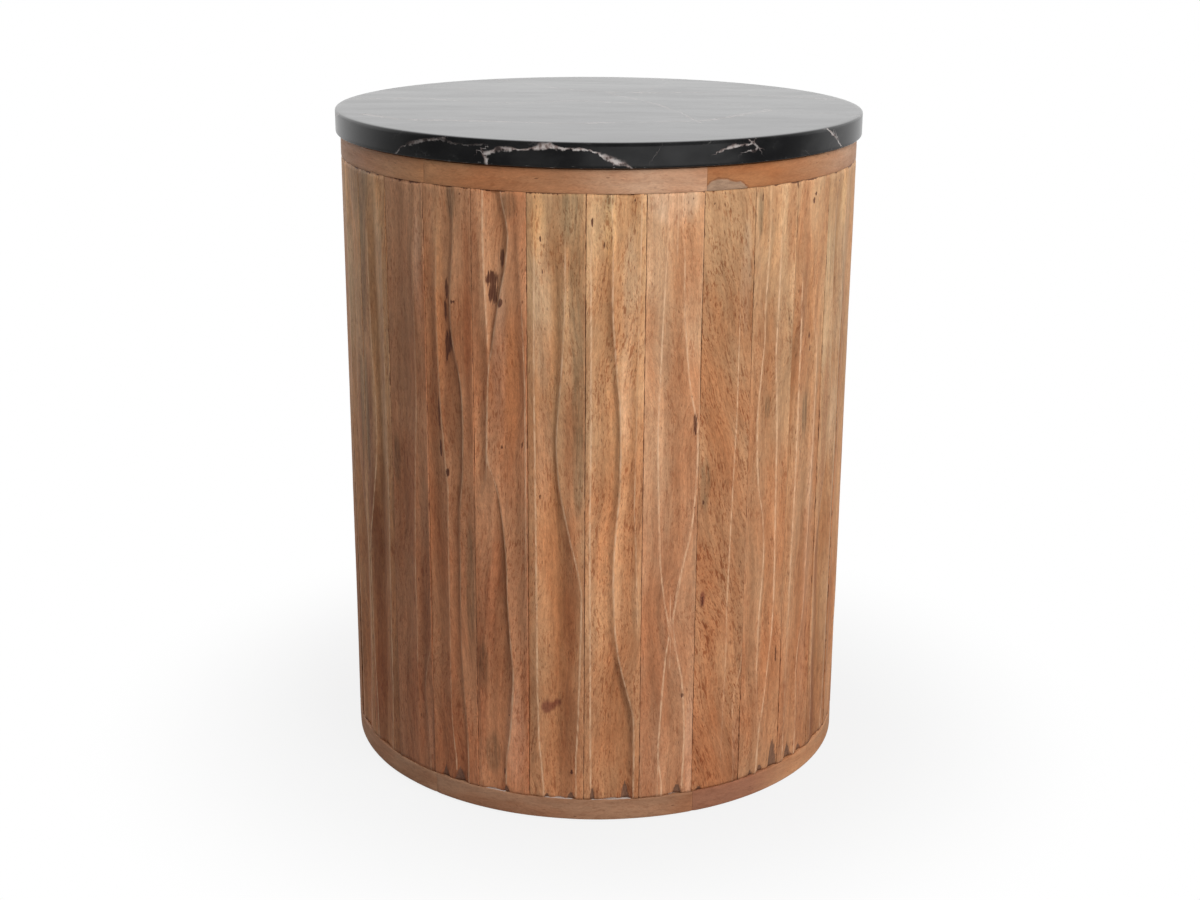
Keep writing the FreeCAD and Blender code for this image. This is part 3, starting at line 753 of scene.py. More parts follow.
# For each stave: its tone, the density of its flecks, and the slant and coarseness of its grain
WOOD = {
    -6: ("honey", .5, .03, 1.0),
    -5: ("amber", .6, -.04, 1.1),
    -4: ("walnut", .55, .02, 1.0),
    -3: ("russet", .55, .04, 1.0),
    -2: ("russet", .60, -.05, 1.0),
    -1: ("honey", .60, .03, 1.0),
    0: ("honey", .75, -.06, 1.0),
    1: ("rosy", .50, .03, .85),
    2: ("amber", 1.0, .26, 1.05),
    3: ("tan", .60, .02, 1.0),
    4: ("tan", .55, -.04, 1.0),
    5: ("straw", .5, .03, 1.0),
    6: ("honey", .5, .02, 1.0),
}
BEHIND_WOOD = (
    ("russet", .6, .03, 1.0),
    ("walnut", .7, -.05, 1.1),
    ("tan", .8, .10, 1.2),
    ("amber", .6, .02, 1.0),
    ("honey", .7, -.04, 1.0),
    ("russet", .5, .05, .9),
    ("amber", .9, -.16, 1.25),
)

# How a spot changes the tint: its spots, which staves have them, how firm they are, and the change
TINT_CHANGES = (
    (LIGHT_BLOOMS, EACH_STAVE, SOFT, np.array([.26, .26, .19])),
    (DARK_TONE_AND_SHADE_BLOOMS, EACH_STAVE, SOFT, np.array([-.22, -.32, -.37])),
    (FAINT_STAINS, FRONT_STAVES, FIRM, np.array([-.47, -.60, -.56])),
)
MOST_BLOOM = .8
# The sawn block's shift from stave to stave, in metres
BLOCK_SHIFT = np.array([.131, .057, .71])

# Steps of a stave's grid across and up, finer in front, and its columns next to an edge
FINE_STEP = (.85, 2.5)
PLAIN_STEP = (1.15, 4)
EDGE_COLUMNS = np.array([0, .006, .014])
# Waves that make repeats of a carving differ: reach, length, step from stave to stave, seed
SWAY = (.07, 130, 7.3, 11)
BEND = (22, 170, 3.1, 12)
BEND_START = 60
BEND_RISE = 60
# How far a line's corners are smoothed
LINE_SPREAD = 6
# How round the walls of the hollows are, from 1 for straight ones, and how steep they can be
HOLLOWNESS = {"plumb_line": 1.2}
PLAIN_HOLLOWNESS = 1.7
LEAST_WALL = .012
# Share of a hollow's depth that is cut, and the depth from which its ripples and ridges are full
HOLLOW_DEPTH = .82
FULL_CUT = 3
# How much of its pale line of wear and painted highlight a ridge loses where its hollow runs out
RIDGE_FADE = {"crossing": .55}
PLAIN_RIDGE_FADE = 1.6
# Hollows whose left edge has no pale ridge line of wear and painted highlight, by their place in the carving
SOFT_LEFT = {"hook": (2,)}
# How much of its pale line of wear and painted highlight a ridge loses for each millimetre that it lies below
# the first
SUNK_FADE = 3
SUNK_START = 1
SUNK_MOST = 2
# Share of a hollow's depth that is left at the foot, and the height over which it grows
FOOT_SHARE = .45
FOOT_RISE = 55
# Patches of painted shade at the foot: how deep, steep and pointed they are
PATCH_DEPTH = 1.2
PATCH_WALL = 2
PATCH_TAPER = .6
PATCH_LEAST = .05
PATCH_SLOPE = 1.5
# Ripples: height, share of it where nothing is cut, length across and up, step between staves, seed
RIPPLES = ((.28, 0, 7, 34, 31, 21), (.10, .25, 2.6, 9, 17, 22), (.16, 1, 18, 120, 13, 23))
LEAST_DEPTH = -.15
# Easing of a stave's edges and ends: how far in it starts, and how much it takes off
EDGE_ROUND = .6
EDGE_DROP = .35
END_ROUND = 2.6
END_DROP = .5
# What a vertex holds where there is no such mark
NO_CREST = 12.0
NO_MARK = -1.0
NO_FILLER = -2.0


def line_at(points, heights):
    """Where a line is at each height: straight from point to point, then smoothed."""
    straight = np.interp(heights, *zip(*sorted(points)))
    step = heights[1] - heights[0]
    reach = int(3 * LINE_SPREAD / step)
    weights = np.exp(-.5 * (np.arange(-reach, reach + 1) * step / LINE_SPREAD) ** 2)
    return np.convolve(np.pad(straight, reach, mode="edge"), weights / weights.sum(), mode="valid")


def spots_at(across, up, spots):
    """From 1 at the middle of a spot to 0 at its rim, and down to -1 away from it."""
    found = np.full(across.shape, NO_MARK)
    for middle, height, half_width, half_height in spots:
        sideways = (across - middle) * STAVE_WIDTH / half_width
        upright = (up - height) / half_height
        found = np.maximum(found, 1 - np.sqrt(sideways ** 2 + upright ** 2))
    return found


class Stave:
    """Where a stave stands, its carving, and the grid of points on its face."""

    def __init__(self, number):
        self.number = number
        self.place = number - STAVE_COUNT if number > STAVE_COUNT / 2 else number
        self.middle = STAVE_FIRST_ANGLE + number * STAVE_ANGLE
        self.in_front = self.place in FRONT
        step_across, step_up = FINE_STEP if self.in_front else PLAIN_STEP
        even = np.linspace(0, 1, round(STAVE_WIDTH / step_across) + 1)
        self.columns = np.concatenate([EDGE_COLUMNS, even[1:-1], 1 - EDGE_COLUMNS[::-1]])
        self.heights = np.linspace(STAVE_FOOT, STAVE_TOP, round((STAVE_TOP - STAVE_FOOT) / step_up) + 1)
        self.up = self.heights[:, None]
        self.across = np.broadcast_to(self.columns, (len(self.heights), len(self.columns)))
        if self.in_front:
            self.carving = FRONT[self.place]
            self.pattern = self.across
        else:
            self.carving, in_mirror = BEHIND[number % len(BEHIND)]
            self.pattern = (1 - self.across if in_mirror else self.across) + self.wave(*SWAY)
            bend = self.wave(*BEND)[:, 0] * np.clip((self.heights - BEND_START) / BEND_RISE, 0, 1)
            self.bent_heights = np.maximum.accumulate(self.heights + bend)

    def wave(self, reach, length, step, seed):
        return reach * noise(self.up / length, self.number * step, seed)

    def lines(self, hollow):
        """The hollow's lines, which behind are read at other heights."""
        if self.in_front:
            return hollow
        return ([(np.interp(height, self.bent_heights, self.heights), value) for height, value in line]
                for line in hollow)

    def drawn(self, marks, draw):
        """The carving's marks: all of them in front, and those that are drawn behind."""
        seed, least = draw
        return [mark for turn, mark in enumerate(marks.get(self.carving, ()))
                if self.in_front or cell_value(self.number, turn, seed) > least]

    def spots(self, marks, draw):
        return spots_at(self.pattern, self.up, self.drawn(marks, draw))

    def patches(self, marks, draw, firmness, most):
        """From 0 at the rim of a spot to the most inside it."""
        return np.clip(self.spots(marks, draw) * firmness, 0, most)


def hollow_at(stave, turn):
    """Depth of one hollow over the stave, and the distance in millimetres from its edges, whose pale line is
    partly wear and partly a painted highlight.
    """
    lines = stave.lines(HOLLOWS[stave.carving][turn])
    left, low, right, depth = (line_at(line, stave.heights)[:, None] for line in lines)
    fall = (stave.pattern - left) / np.maximum(low - left, LEAST_WALL)
    rise = (right - stave.pattern) / np.maximum(right - low, LEAST_WALL)
    share = np.clip(np.minimum(fall, rise), 0, 1)
    hollowness = HOLLOWNESS.get(stave.carving, PLAIN_HOLLOWNESS)
    cut = HOLLOW_DEPTH * depth * (1 - (1 - share) ** hollowness)
    gap = abs(stave.pattern - right) * STAVE_WIDTH
    if turn not in SOFT_LEFT.get(stave.carving, ()):
        gap = np.minimum(gap, abs(stave.pattern - left) * STAVE_WIDTH)
    fade = RIDGE_FADE.get(stave.carving, PLAIN_RIDGE_FADE)
    return cut, gap + fade * np.clip(1 - depth / FULL_CUT, 0, 1)


def patch_at(stave, left, right, point):
    """From 1 inside a pointed patch at the foot to 0 at its rim, and down to -1 away from it."""
    grown = np.clip((point - stave.up) / (point - STAVE_FOOT), 0, 1) ** PATCH_TAPER
    half = (right - left) / 2 * np.maximum(grown, PATCH_LEAST)
    above = np.maximum(stave.up - point, 0)
    return np.clip(PATCH_SLOPE * (1 - abs(stave.pattern - (left + right) / 2) / half) - above, -1, 1)


def carve(stave):
    """Depth of the face, distance from its ridges (wear and painted highlight), and patches of painted shade
    at the foot.
    """
    depth = np.zeros(stave.across.shape)
    crest = np.full(stave.across.shape, NO_CREST)
    for turn in range(len(HOLLOWS[stave.carving])):
        cut, gap = hollow_at(stave, turn)
        depth = np.maximum(depth, cut)
        crest = np.minimum(crest, gap)
    from_foot = np.clip((stave.up - STAVE_FOOT) / FOOT_RISE, 0, 1)
    depth = depth * (FOOT_SHARE + (1 - FOOT_SHARE) * from_foot)
    foot = np.full(stave.across.shape, NO_MARK)
    for patch in stave.drawn(FOOT_PATCHES, PATCH_DRAW):
        foot = np.maximum(foot, patch_at(stave, *patch))
    depth = depth + PATCH_DEPTH * np.clip(foot * PATCH_WALL, 0, 1)

    sideways = stave.across * STAVE_WIDTH
    cut_share = np.clip(depth / FULL_CUT, 0, 1)
    for height, uncut, length_across, length_up, step, seed in RIPPLES:
        ripple = noise(sideways / length_across + stave.number * step, stave.up / length_up, seed)
        depth = depth + (uncut + (1 - uncut) * cut_share) * height * ripple
    # Softened from column to column, apart from those next to an edge
    softened = depth.copy()
    softened[:, 3:-3] = (depth[:, 2:-4] + 2 * depth[:, 3:-3] + depth[:, 4:-2]) / 4
    from_edge = np.minimum(stave.across, 1 - stave.across) * STAVE_WIDTH
    from_end = np.minimum(stave.up - STAVE_FOOT, STAVE_TOP - stave.up)
    depth = np.maximum(softened, LEAST_DEPTH) + EDGE_DROP * rounding(from_edge, EDGE_ROUND)
    depth = depth + END_DROP * rounding(from_end, END_ROUND)
    crest = crest + SUNK_FADE * np.clip(depth - SUNK_START, 0, SUNK_MOST)
    return depth, np.where(foot > 0, NO_CREST, crest), foot


def stains_on(stave):
    """Stains, pin holes, a broken dark line along the top, and dirt in the joints."""
    stains = stave.spots(STAINS, STAIN_DRAW)
    first = stave.middle - STAVE_ANGLE / 2
    holes = [(((angle - first + 180) % 360 - 180) / STAVE_ANGLE, height) for angle, height in PIN_HOLES]
    holes = [(share, height, *PIN_HOLE_SIZE) for share, height in holes if 0 < share < 1]
    stains = np.maximum(stains, spots_at(stave.across, stave.up, holes))
    strength, length, step, seed = TOP_LINE
    line = strength * noise(stave.columns * STAVE_WIDTH / length, stave.number * step, seed)
    stains[-1] = np.maximum(stains[-1], line)
    for edge, inner, joint in ((0, 1, stave.place - 1), (-1, -2, stave.place)):
        dirt = SEAMS.get(joint, PLAIN_SEAM)
        stains[:, edge] = np.maximum(stains[:, edge], dirt)
        stains[:, inner] = np.maximum(stains[:, inner], dirt - SEAM_FALL)
    return stains


def tints_of(stave, tone):
    """Colours of the stave's face and back, with painted light paler towards the top and painted shade darker
    at the foot.
    """
    towards_top = np.clip((stave.up - PAINTED_LIGHT_MIDDLE) / PAINTED_LIGHT_REACH, -1, 1)[:, :, None]
    upper_painted_light = PAINTED_TOP_LIGHT_FOOT_SHADE if tone in DULL_TONES else FRESH_PAINTED_TOP_LIGHT
    plain = np.array(TONES[tone]) * (1 + np.maximum(towards_top, 0) * upper_painted_light + np.minimum(towards_top, 0) * PAINTED_TOP_LIGHT_FOOT_SHADE)
    tint = plain
    for marks, draw, firmness, change in TINT_CHANGES:
        tint = tint * (1 + stave.patches(marks, draw, firmness, 1)[:, :, None] * change)
    return tint, np.repeat(plain, 2, axis=1)


def stave_faces(rows, columns):
    """Faces round a stave and at its ends, and which of them are smooth: those that are carved."""
    face = np.arange(rows * columns).reshape(rows, columns)
    back = rows * columns + np.arange(2 * rows).reshape(rows, 2)
    smooth = ([True] * (columns - 1) + [False] * 3) * (rows - 1) + [False] * 2
    return tube_faces(np.column_stack([face, back[:, ::-1]])), smooth


def carved_stave(number, material):
    stave = Stave(number)
    depth, crest, foot = carve(stave)
    half = STAVE_ANGLE / 2 - JOINT_ANGLE
    outer = on_drum(stave.middle - half + 2 * half * stave.across, DRUM_RADIUS - depth, stave.up)
    corner = (DRUM_RADIUS - STAVE_THICKNESS) / math.cos(math.radians(STAVE_ANGLE / 2))
    backs = on_drum(np.array([[stave.middle - half, stave.middle + half]]), corner, stave.up)
    points = np.concatenate([outer.ravel(), backs.ravel()])
    faces, smooth = stave_faces(*stave.across.shape)
    node = f"stave_{number + 1:02d}"
    piece = new_piece(f"carved_{node}", points, faces, smooth, node, material)

    tone, density, slant, coarseness = WOOD.get(stave.place, BEHIND_WOOD[number % len(BEHIND_WOOD)])
    slanted = stave.across * STAVE_WIDTH + slant * stave.up
    block = np.stack(np.broadcast_arrays(slanted, -depth, stave.up), -1) * MM / coarseness
    back_block = np.stack(np.broadcast_arrays(np.zeros((1, 2)), -STAVE_THICKNESS, stave.up), -1) * MM
    paint(piece, "block", block + number * BLOCK_SHIFT, back_block + number * BLOCK_SHIFT)
    bloom = (stave.patches(BLOOMS, BLOOM_DRAW, SOFT, MOST_BLOOM)
             - stave.patches(PALE_BLOOMS, EACH_STAVE, SOFT, MOST_BLOOM))
    values = {
        "carve": (depth, 0),
        "crest": (crest, NO_CREST),
        "stain": (stains_on(stave), NO_MARK),
        "foot": (foot, NO_MARK),
        "glue_and_highlight": (stave.spots(GLUE_AND_HIGHLIGHT_LINES, FRONT_STAVES), NO_MARK),
        "bloom": (bloom, 0),
        "filler": (NO_FILLER, NO_FILLER),
        "pores": (density, density),
    }
    for name, (on_face, on_back) in values.items():
        paint(piece, name, np.broadcast_to(on_face, depth.shape), np.full(2 * len(depth), on_back))
    paint(piece, "tint", *(opaque(tint) for tint in tints_of(stave, tone)))


# Hoops: six sawn segments each, with eased arrises, and grain along the chord of the segment
HOOP_EASE = .8
EASE_BULGE = .3
HOOP_ROWS = 9
HOOP_STEP = .75
HOOP_SHARP = 40
HOOP_END_ROUND = 2
# Waves of a hoop's face: depth, length in degrees, height, and how far the face is sunk on the whole
HOOP_WAVE = (.18, 9, 14)
HOOP_SINK = .15
FACE_BAND = 2
# The ledge in front of the staves, and the band on it that takes the pale line of pooled finish and painted
# highlight
LEDGE = 10
LEDGE_BAND = 12
LEDGE_GLUE_AND_HIGHLIGHT = .45
# Grain: share of the depth that shows, and the block's shift from segment to segment, in metres
GRAIN_DEPTH = .35
HOOP_SHIFT = np.array([.37, .11, .53])
HOOP_SEEDS = {"top": 40, "bottom": 60}
HOOP_VALUES = {"carve": .9, "crest": NO_CREST, "stain": NO_MARK, "foot": NO_MARK, "bloom": 0, "pores": .25}
HOOP_TONES = {
    "umber": (.365, .150, .062),
    "brown": (.415, .210, .112),
    "ash_and_sheen": (.475, .280, .183),
    "orange": (.535, .245, .117),
    "maroon": (.305, .125, .072),
    "straw": (.515, .252, .130),
    "dusk": (.345, .170, .096),
    "drab": (.400, .205, .122),
    "clay": (.450, .245, .148),
}
# Each segment's tones at even places along it, going round the drum; the pale ash tone at the drum's left and
# right edges is partly a painted sheen
HOOP_WOOD = {
    "top": (("umber", "umber", "brown", "ash_and_sheen", "ash_and_sheen"), ("brown", "brown"), ("brown", "brown"),
            ("brown", "brown"), ("ash_and_sheen", "ash_and_sheen", "orange"), ("orange", "orange", "brown", "ash_and_sheen", "ash_and_sheen")),
    "bottom": (("maroon", "maroon", "straw", "straw", "straw"), ("dusk", "dusk"), ("dusk", "dusk"),
               ("dusk", "dusk"), ("drab", "clay"), ("drab", "dusk")),
}
# Pale line on the bottom hoop's ledge in front of three hollows, between two angles: partly pooled finish,
# partly a painted highlight where the ledge catches the light
LEDGE_LINES = ((-24.9, -19.5), (-11.3, -4.9), (-.6, 8.3))
# Upper edge of the filler in one segment's face, as (angle, height)
FILLER_EDGES = {("top", 1): ((21.9, 545), (22.8, 547.6), (24.0, 550), (25.2, 549.4), (26.2, 549.6),
                             (27.2, 547.8), (28.4, 546.4), (29.4, 546.8), (30.2, 545.2), (31.0, 542),
                             (31.4, 536))}


def hoop_profile(foot):
    """Section of a hoop as (radius, height), going round it."""
    inner = DRUM_RADIUS - HOOP_WIDTH
    top = foot + HOOP_HEIGHT
    bulge = HOOP_EASE * EASE_BULGE
    face = [(DRUM_RADIUS, height) for height in np.linspace(foot + HOOP_EASE, top - HOOP_EASE, HOOP_ROWS)]
    upper = [(DRUM_RADIUS - bulge, top - bulge), (DRUM_RADIUS - HOOP_EASE, top), (DRUM_RADIUS - LEDGE, top),
             (inner, top)]
    lower = [(inner, foot), (DRUM_RADIUS - HOOP_EASE, foot), (DRUM_RADIUS - bulge, foot + bulge)]
    return np.array(face + upper + lower)


def hoop_segment(hoop, number, foot, material):
    middle = HOOP_FIRST_ANGLE + (number - 1) * 360 / HOOP_SEGMENTS
    half = 180 / HOOP_SEGMENTS - JOINT_ANGLE
    angles = np.linspace(middle - half, middle + half, round(2 * half / HOOP_STEP) + 1)[:, None]
    profile = hoop_profile(foot)
    shape = (len(angles), len(profile))
    height = np.broadcast_to(profile[:, 1], shape)
    radius = np.broadcast_to(profile[:, 0], shape)
    on_face = radius > DRUM_RADIUS - FACE_BAND
    seed = HOOP_SEEDS[hoop] + number
    reach, length, tall = HOOP_WAVE
    wave = reach * noise(angles / length, height / tall, seed) - HOOP_SINK
    from_end = np.minimum(angles - angles[0], angles[-1] - angles) * math.radians(DRUM_RADIUS)
    radius = radius + np.where(on_face, wave - END_DROP * rounding(from_end, HOOP_END_ROUND), 0)
    points = on_drum(angles, radius, height)
    faces = tube_faces(np.arange(radius.size).reshape(shape), turned_over=True)
    smooth = [True] * (len(faces) - 2) + [False] * 2
    node = f"{hoop}_hoop_segment_{number}"
    piece = new_piece(f"sawn_{node}", points, faces, smooth, node, material)
    piece.data.set_sharp_from_angle(angle=math.radians(HOOP_SHARP))

    turn = np.radians(angles - middle)
    chord = np.stack([height, radius * np.cos(turn) * GRAIN_DEPTH, radius * np.sin(turn)], -1) * MM
    paint(piece, "block", chord + seed * HOOP_SHIFT)
    for name, value in HOOP_VALUES.items():
        paint(piece, name, np.full(shape, value))
    # Pale line on the ledge: partly pooled finish, partly a painted highlight
    glue_and_highlight = np.full(shape, NO_MARK)
    from_front = (angles + 180) % 360 - 180
    on_ledge = (height == foot + HOOP_HEIGHT) & (radius > DRUM_RADIUS - LEDGE_BAND) & (hoop == "bottom")
    for start, stop in LEDGE_LINES:
        glue_and_highlight[on_ledge & (from_front > start) & (from_front < stop)] = LEDGE_GLUE_AND_HIGHLIGHT
    paint(piece, "glue_and_highlight", glue_and_highlight)
    filler = np.full(shape, NO_FILLER)
    if (hoop, number) in FILLER_EDGES:
        edge = np.interp(angles, *zip(*FILLER_EDGES[hoop, number]))
        filler = np.where(on_face, np.clip(edge - height, NO_FILLER, -NO_FILLER), filler)
    paint(piece, "filler", filler)
    tones = np.array([HOOP_TONES[tone] for tone in HOOP_WOOD[hoop][number - 1]])
    along = np.linspace(0, len(tones) - 1, len(angles))
    tint = np.stack([np.interp(along, np.arange(len(tones)), channel) for channel in tones.T], -1)
    paint(piece, "tint", opaque(np.repeat(tint, len(profile), axis=0)))


# Marble: a disc with eased edges. Its veins are lines of points with a half width at each, on the rim
# as (angle, height, half width) and on the top as (x, y) with one half width, and each has a strength.
MARBLE_COLUMNS = 720
MARBLE_EASE = 1.5
MARBLE_RINGS = 60
MARBLE_ROWS = 11
MARBLE_HUB = 3
MARBLE_UNDER_RING = 150
MARBLE_SHARP = 50
RIM_VEINS = (
    (((-44.9, 561, .7), (-42.9, 567, 1.1), (-39.9, 571.6, .8), (-36.8, 574.8, 1.0), (-33.8, 576.4, .8),
      (-31.7, 578.6, .5)), .55),
    (((-32.5, 577, .5), (-29, 574.6, 1.2), (-25.6, 574.5, .8), (-23.1, 575.7, .4)), .22),
    (((-22.1, 560.5, 1.2), (-22.3, 565, 2.0), (-22.8, 568.3, 1.4), (-21, 571, 1.2), (-18.9, 573.6, .9),
      (-16.5, 573.6, .9), (-13.9, 573.5, .7), (-11.2, 576, 1.6), (-9.3, 577, 2.0), (-7.7, 576, 1.3),
      (-4.8, 575, 1.0), (-2.6, 575.3, .9), (-.7, 573.3, 1.1), (.9, 570, 1.5), (2.8, 566.3, 1.4),
      (4.7, 563.7, 1.7), (6.3, 560.5, 1.0)), 1.0),
    (((24.3, 571.5, .8), (25.5, 573.3, .6), (27.3, 574.9, .8), (29.6, 574.6, .5), (31.6, 576, .6),
      (30.6, 578.6, .5)), .8),
    (((31.6, 576, .5), (33, 572.6, .6), (32, 570, .5), (30.2, 569.8, .4)), .55),
    (((53.4, 580, .8), (55.3, 575.6, .8), (57.7, 569.7, .6), (60, 563, .5)), .9),
    (((57, 575, .4), (59, 567, .4)), .5),
    (((11.4, 573.5, .3), (10.6, 568.7, .3)), .22),
    (((96, 580, 1), (101, 572, 1.3), (108, 569, .8), (113, 561, .6)), .9),
    (((140, 561, .8), (146, 570, 1.7), (153, 573, 1.1), (160, 580, .7)), .9),
    (((176, 564, .6), (183, 572, 1.6), (192, 570, 2), (201, 576, 1), (207, 580, .6)), 1.0),
    (((233, 580, .6), (238, 571, 1.4), (247, 566, 1), (251, 561, .6)), .9),
    (((264, 561, .7), (270, 571, 1.5), (279, 574, 1.1), (287, 580, .7)), .8),
)
TOP_VEINS = (
    (((-198, -70), (-173, -100), (-98, -106), (-48, -119), (1, -119), (42, -108), (92, -93), (150, -30)),
     2.4, .55),
    (((5, 95), (40, 40), (62, -30), (82, -105)), 1.0, .7),
    (((-226, 40), (-150, 46), (-90, 8), (-20, 34), (30, 20)), 1.9, .6),
    (((-104, 205), (-60, 150), (-20, 110), (40, 92), (110, 104), (165, 70), (222, 60)), 1.6, .7),
    (((-183, 138), (-140, 132), (-110, 100), (-70, 96)), 1.0, .5),
    (((60, 219), (70, 180), (52, 140), (40, 92)), .9, .5),
    (((222, -60), (180, -40), (150, -30), (128, 8), (90, 20)), 1.2, .5),
)
VEIN_BENDS = 9
# Swaying of the veins on the top: reach, beat, step from vein to vein, seed
VEIN_SWAYS = ((5, 1.7, 3.3, 81), (2, 4, 1, 83))
# Swelling of their width: share, beat, step from vein to vein, seed
VEIN_SWELL = (.5, 1.3, 2.1, 85)
# How a vein's strength fades away from its line
VEIN_FULL = 1.8
VEIN_FADE = 5
FAR_OFF = 30.0
# Points above this are on the top, and the others on the rim or below
TOP_LEVEL = MARBLE_TOP - .5


def marble_profile():
    """Section of the disc as (radius, height), from the middle of the top to the middle below."""
    inner = MARBLE_RADIUS - MARBLE_EASE
    turns = np.radians([30, 60])
    corner = [(inner + MARBLE_EASE * math.sin(turn), MARBLE_EASE * (1 - math.cos(turn))) for turn in turns]
    top = [(radius, MARBLE_TOP) for radius in np.linspace(MARBLE_HUB, inner, MARBLE_RINGS)]
    upper = [(radius, MARBLE_TOP - drop) for radius, drop in corner]
    rim = [(MARBLE_RADIUS, height)
           for height in np.linspace(MARBLE_TOP - MARBLE_EASE, MARBLE_FOOT + MARBLE_EASE, MARBLE_ROWS)]
    lower = [(radius, MARBLE_FOOT + drop) for radius, drop in reversed(corner)]
    below = [(radius, MARBLE_FOOT) for radius in (inner, MARBLE_UNDER_RING, MARBLE_HUB)]
    return np.array(top + upper + rim + lower + below)


def vein_lines():
    """Points along each vein with the half width there, and the strength of the vein."""
    for marks, strength in RIM_VEINS:
        yield [(on_drum(angle, MARBLE_RADIUS, height) / MM, half) for angle, height, half in marks], strength
    for number, (marks, half, strength) in enumerate(TOP_VEINS):
        steps = np.linspace(0, len(marks) - 1, (len(marks) - 1) * VEIN_BENDS + 1)
        places = np.stack([np.interp(steps, np.arange(len(marks)), part) for part in zip(*marks)], -1)
        for _ in range(VEIN_BENDS):
            places[1:-1] = (places[:-2] + 2 * places[1:-1] + places[2:]) / 4
        for reach, beat, step, seed in VEIN_SWAYS:
            sway = [noise(steps * beat, number * step, seed + axis) for axis in (0, 1)]
            places = places + reach * np.stack(sway, -1)
        share, beat, step, seed = VEIN_SWELL
        halves = half * (1 + share * noise(steps * beat, number * step, seed))
        yield [(np.array([*place, MARBLE_TOP]), width) for place, width in zip(places, halves)], strength


def vein_fields(points):
    """Signed distance from the nearest vein, its half width, and its strength, for each point."""
    nearest = np.full(len(points), np.inf)
    signed = np.full(len(points), FAR_OFF)
    width = np.ones(len(points))
    here = np.zeros(len(points))
    outward = np.where(points[:, 2:] > TOP_LEVEL, [[0, 0, 1]], points * [[1, 1, 0]] / MARBLE_RADIUS)
    for marks, strength in vein_lines():
        for (start, start_half), (stop, stop_half) in zip(marks, marks[1:]):
            run = stop - start
            share = np.clip(((points - start) @ run) / (run @ run), 0, 1)
            offset = points - (start + share[:, None] * run)
            distance = np.linalg.norm(offset, axis=1)
            side = np.einsum("ij,ij->i", np.cross(run, offset), outward)
            closer = distance < nearest
            nearest = np.where(closer, distance, nearest)
            signed = np.where(closer, np.where(side < 0, -distance, distance), signed)
            width = np.where(closer, start_half + (stop_half - start_half) * share, width)
            here = np.where(closer, strength, here)
    here = here * np.clip(VEIN_FULL - nearest / VEIN_FADE, 0, 1)
    return {"vein": signed, "vein_width": width, "vein_here": here}


def marble_disc(material):
    profile = marble_profile()
    angles = np.arange(MARBLE_COLUMNS) * 360 / MARBLE_COLUMNS
    points = on_drum(angles[:, None], profile[:, 0], profile[:, 1])
    rings = np.arange(MARBLE_COLUMNS * len(profile)).reshape(MARBLE_COLUMNS, -1).T
    faces = tube_faces(rings, turned_over=True)
    smooth = [True] * len(faces)
    piece = new_piece("polished_marble_top", points, faces, smooth, "marble_top", material)
    piece.data.set_sharp_from_angle(angle=math.radians(MARBLE_SHARP))
    for name, values in vein_fields(points.reshape(-1, 3) / MM).items():
        paint(piece, name, values)


stave_wood = wood_material("stave_wood", figure=1.0)
hoop_wood = wood_material("hoop_wood", figure=.5)
for stave_number in range(STAVE_COUNT):
    carved_stave(stave_number, stave_wood)
for segment_number in range(1, HOOP_SEGMENTS + 1):
    hoop_segment("top", segment_number, STAVE_TOP, hoop_wood)
    hoop_segment("bottom", segment_number, BOTTOM_HOOP_FOOT, hoop_wood)
marble_disc(marble_material())

tenon_wood = plain_wood_material("tenon_wood", "tenon grain", rgb(.36, .22, .12), rgb(.50, .33, .19))
plywood = plain_wood_material("plywood", "plywood grain", rgb(.42, .29, .17), rgb(.60, .44, .28))
INNER_MATERIALS = {
    "top_hoop_tenons": tenon_wood,
    "bottom_hoop_tenons": tenon_wood,
    "top_panel": plywood,
    "base_panel": plywood,
    "silicone_pads": silicone_material(),
    "floor_glides": felt_material(),
}
for node_name, inner_material in INNER_MATERIALS.items():
    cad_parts[node_name].material_slots[0].material = inner_material

# Stage: a white floor that keeps a soft shadow near the table and is plain white further out. What
# shines on the table mirrors a white studio behind it, a darker room in front, and a pale window there.
WHITE = rgb(1, 1, 1)
FLOOR_GREY = rgb(.42, .42, .42)
FLOOR_CORNERS = ((-40, -40, 0), (40, -40, 0), (40, 40, 0), (-40, 40, 0))
WINDOW_PLACE = (1.75, -3.55, 0)


def studio_view(wiring, room):
    """Share of the studio that a ray sees, and its brightness: white, or the room's own in reflections."""
    path = wiring.add("LightPath")
    seen = wiring.larger(path["Is Camera Ray"], path["Is Glossy Ray"])
    dimming = wiring.times(path["Is Glossy Ray"], wiring.minus(1.0, room))
    return wiring.larger(seen, path["Is Transmission Ray"]), wiring.minus(1.0, dimming)


def white_floor():
    mesh = bpy.data.meshes.new("floor")
    mesh.from_pydata(FLOOR_CORNERS, [], [(0, 1, 2, 3)])
    floor = bpy.data.objects.new("floor", mesh)
    bpy.context.scene.collection.objects.link(floor)
    material, wiring = new_material("floor_white")
    wiring.tree.nodes.clear()
    mesh.materials.append(material)
    place = wiring.position()
    glow_share = wiring.ramp("floor glow", wiring.vector_math("LENGTH", place)["Value"])
    window = wiring.ramp("window", wiring.vector_math("DISTANCE", place, WINDOW_PLACE)["Value"])
    along = wiring.add("SeparateXYZ", {0: place})["Y"]
    seen, brightness = studio_view(wiring, wiring.larger(wiring.ramp("floor room", along), window))
    diffuse = wiring.add("BsdfDiffuse", {"Color": FLOOR_GREY})[0]
    glow = wiring.add("Emission", {"Color": WHITE, "Strength": brightness})[0]
    mixed = wiring.add("MixShader", {0: wiring.times(seen, glow_share), 1: diffuse, 2: glow})[0]
    wiring.add("OutputMaterial", {"Surface": mixed})


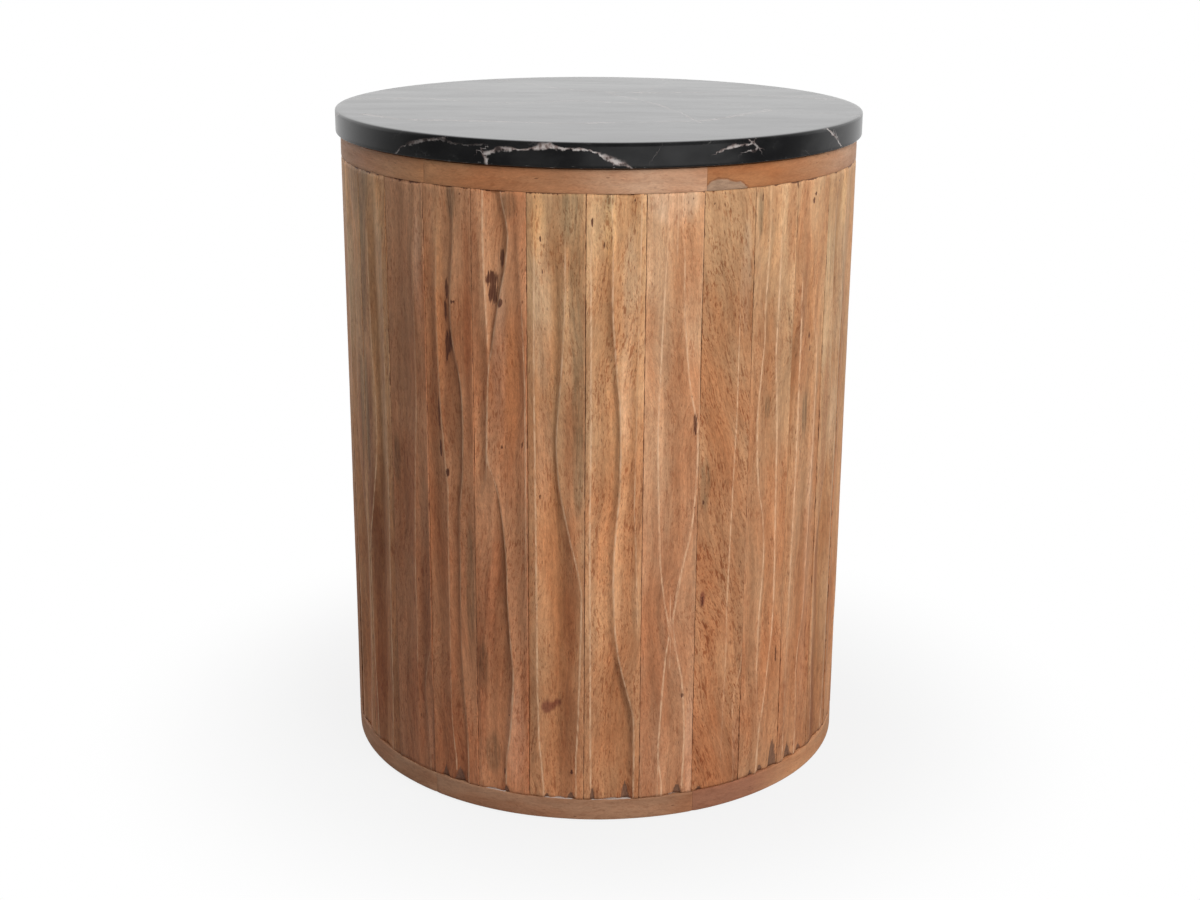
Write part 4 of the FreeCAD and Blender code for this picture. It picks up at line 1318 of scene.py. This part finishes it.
def studio_world(fill):
    world = bpy.data.worlds.new("studio")
    bpy.context.scene.world = world
    world.use_nodes = True
    wiring = Wiring(world.node_tree)
    wiring.tree.nodes.clear()
    direction = wiring.add("SeparateXYZ", {0: wiring.add("TexCoord")["Generated"]})
    room = wiring.larger(wiring.ramp("sky room", direction["Y"]), wiring.ramp("overhead", direction["Z"]))
    seen, brightness = studio_view(wiring, room)
    soft = wiring.add("Background", {"Color": WHITE, "Strength": fill})[0]
    white = wiring.add("Background", {"Color": WHITE, "Strength": brightness})[0]
    mixed = wiring.add("MixShader", {0: seen, 1: soft, 2: white})[0]
    wiring.add("OutputWorld", {"Surface": mixed})


def soft_lamp(name, place, target, width, power):
    lamp = bpy.data.lights.new(name, "AREA")
    lamp.shape = "SQUARE"
    lamp.size = width
    lamp.energy = power
    holder = bpy.data.objects.new(name, lamp)
    bpy.context.scene.collection.objects.link(holder)
    holder.location = place
    holder.rotation_euler = (Vector(target) - Vector(place)).to_track_quat("-Z", "Y").to_euler()
    holder.visible_glossy = False


# Camera: where the photograph was taken from
CAMERA_PLACE = (0, -1.647, .7826)
CAMERA_PITCH = .3059
CAMERA_YAW = .0018
CAMERA_ROLL = .0068
CAMERA_LENS = 55.7
SENSOR_WIDTH = 36


def photo_camera():
    lens = bpy.data.cameras.new("camera")
    lens.sensor_width = SENSOR_WIDTH
    lens.lens = CAMERA_LENS
    camera = bpy.data.objects.new("camera", lens)
    bpy.context.scene.collection.objects.link(camera)
    level_share = math.cos(CAMERA_PITCH)
    ahead = Vector((math.sin(CAMERA_YAW) * level_share, math.cos(CAMERA_YAW) * level_share,
                    -math.sin(CAMERA_PITCH)))
    level = ahead.cross(Vector((0, 0, 1))).normalized()
    upright = level.cross(ahead)
    right = math.cos(CAMERA_ROLL) * level + math.sin(CAMERA_ROLL) * upright
    up = math.cos(CAMERA_ROLL) * upright - math.sin(CAMERA_ROLL) * level
    turned = Matrix((right, up, -ahead)).transposed().to_4x4()
    camera.matrix_world = Matrix.Translation(CAMERA_PLACE) @ turned
    bpy.context.scene.camera = camera


white_floor()
studio_world(fill=.285)
soft_lamp("key_lamp", place=(1.35, -1.85, 1.75), target=(0, 0, .35), width=1.8, power=67)
soft_lamp("back_lamp", place=(-1.7, 1.7, 1.5), target=(0, 0, .3), width=1.8, power=36)
photo_camera()
bpy.context.scene.view_settings.view_transform = "Standard"
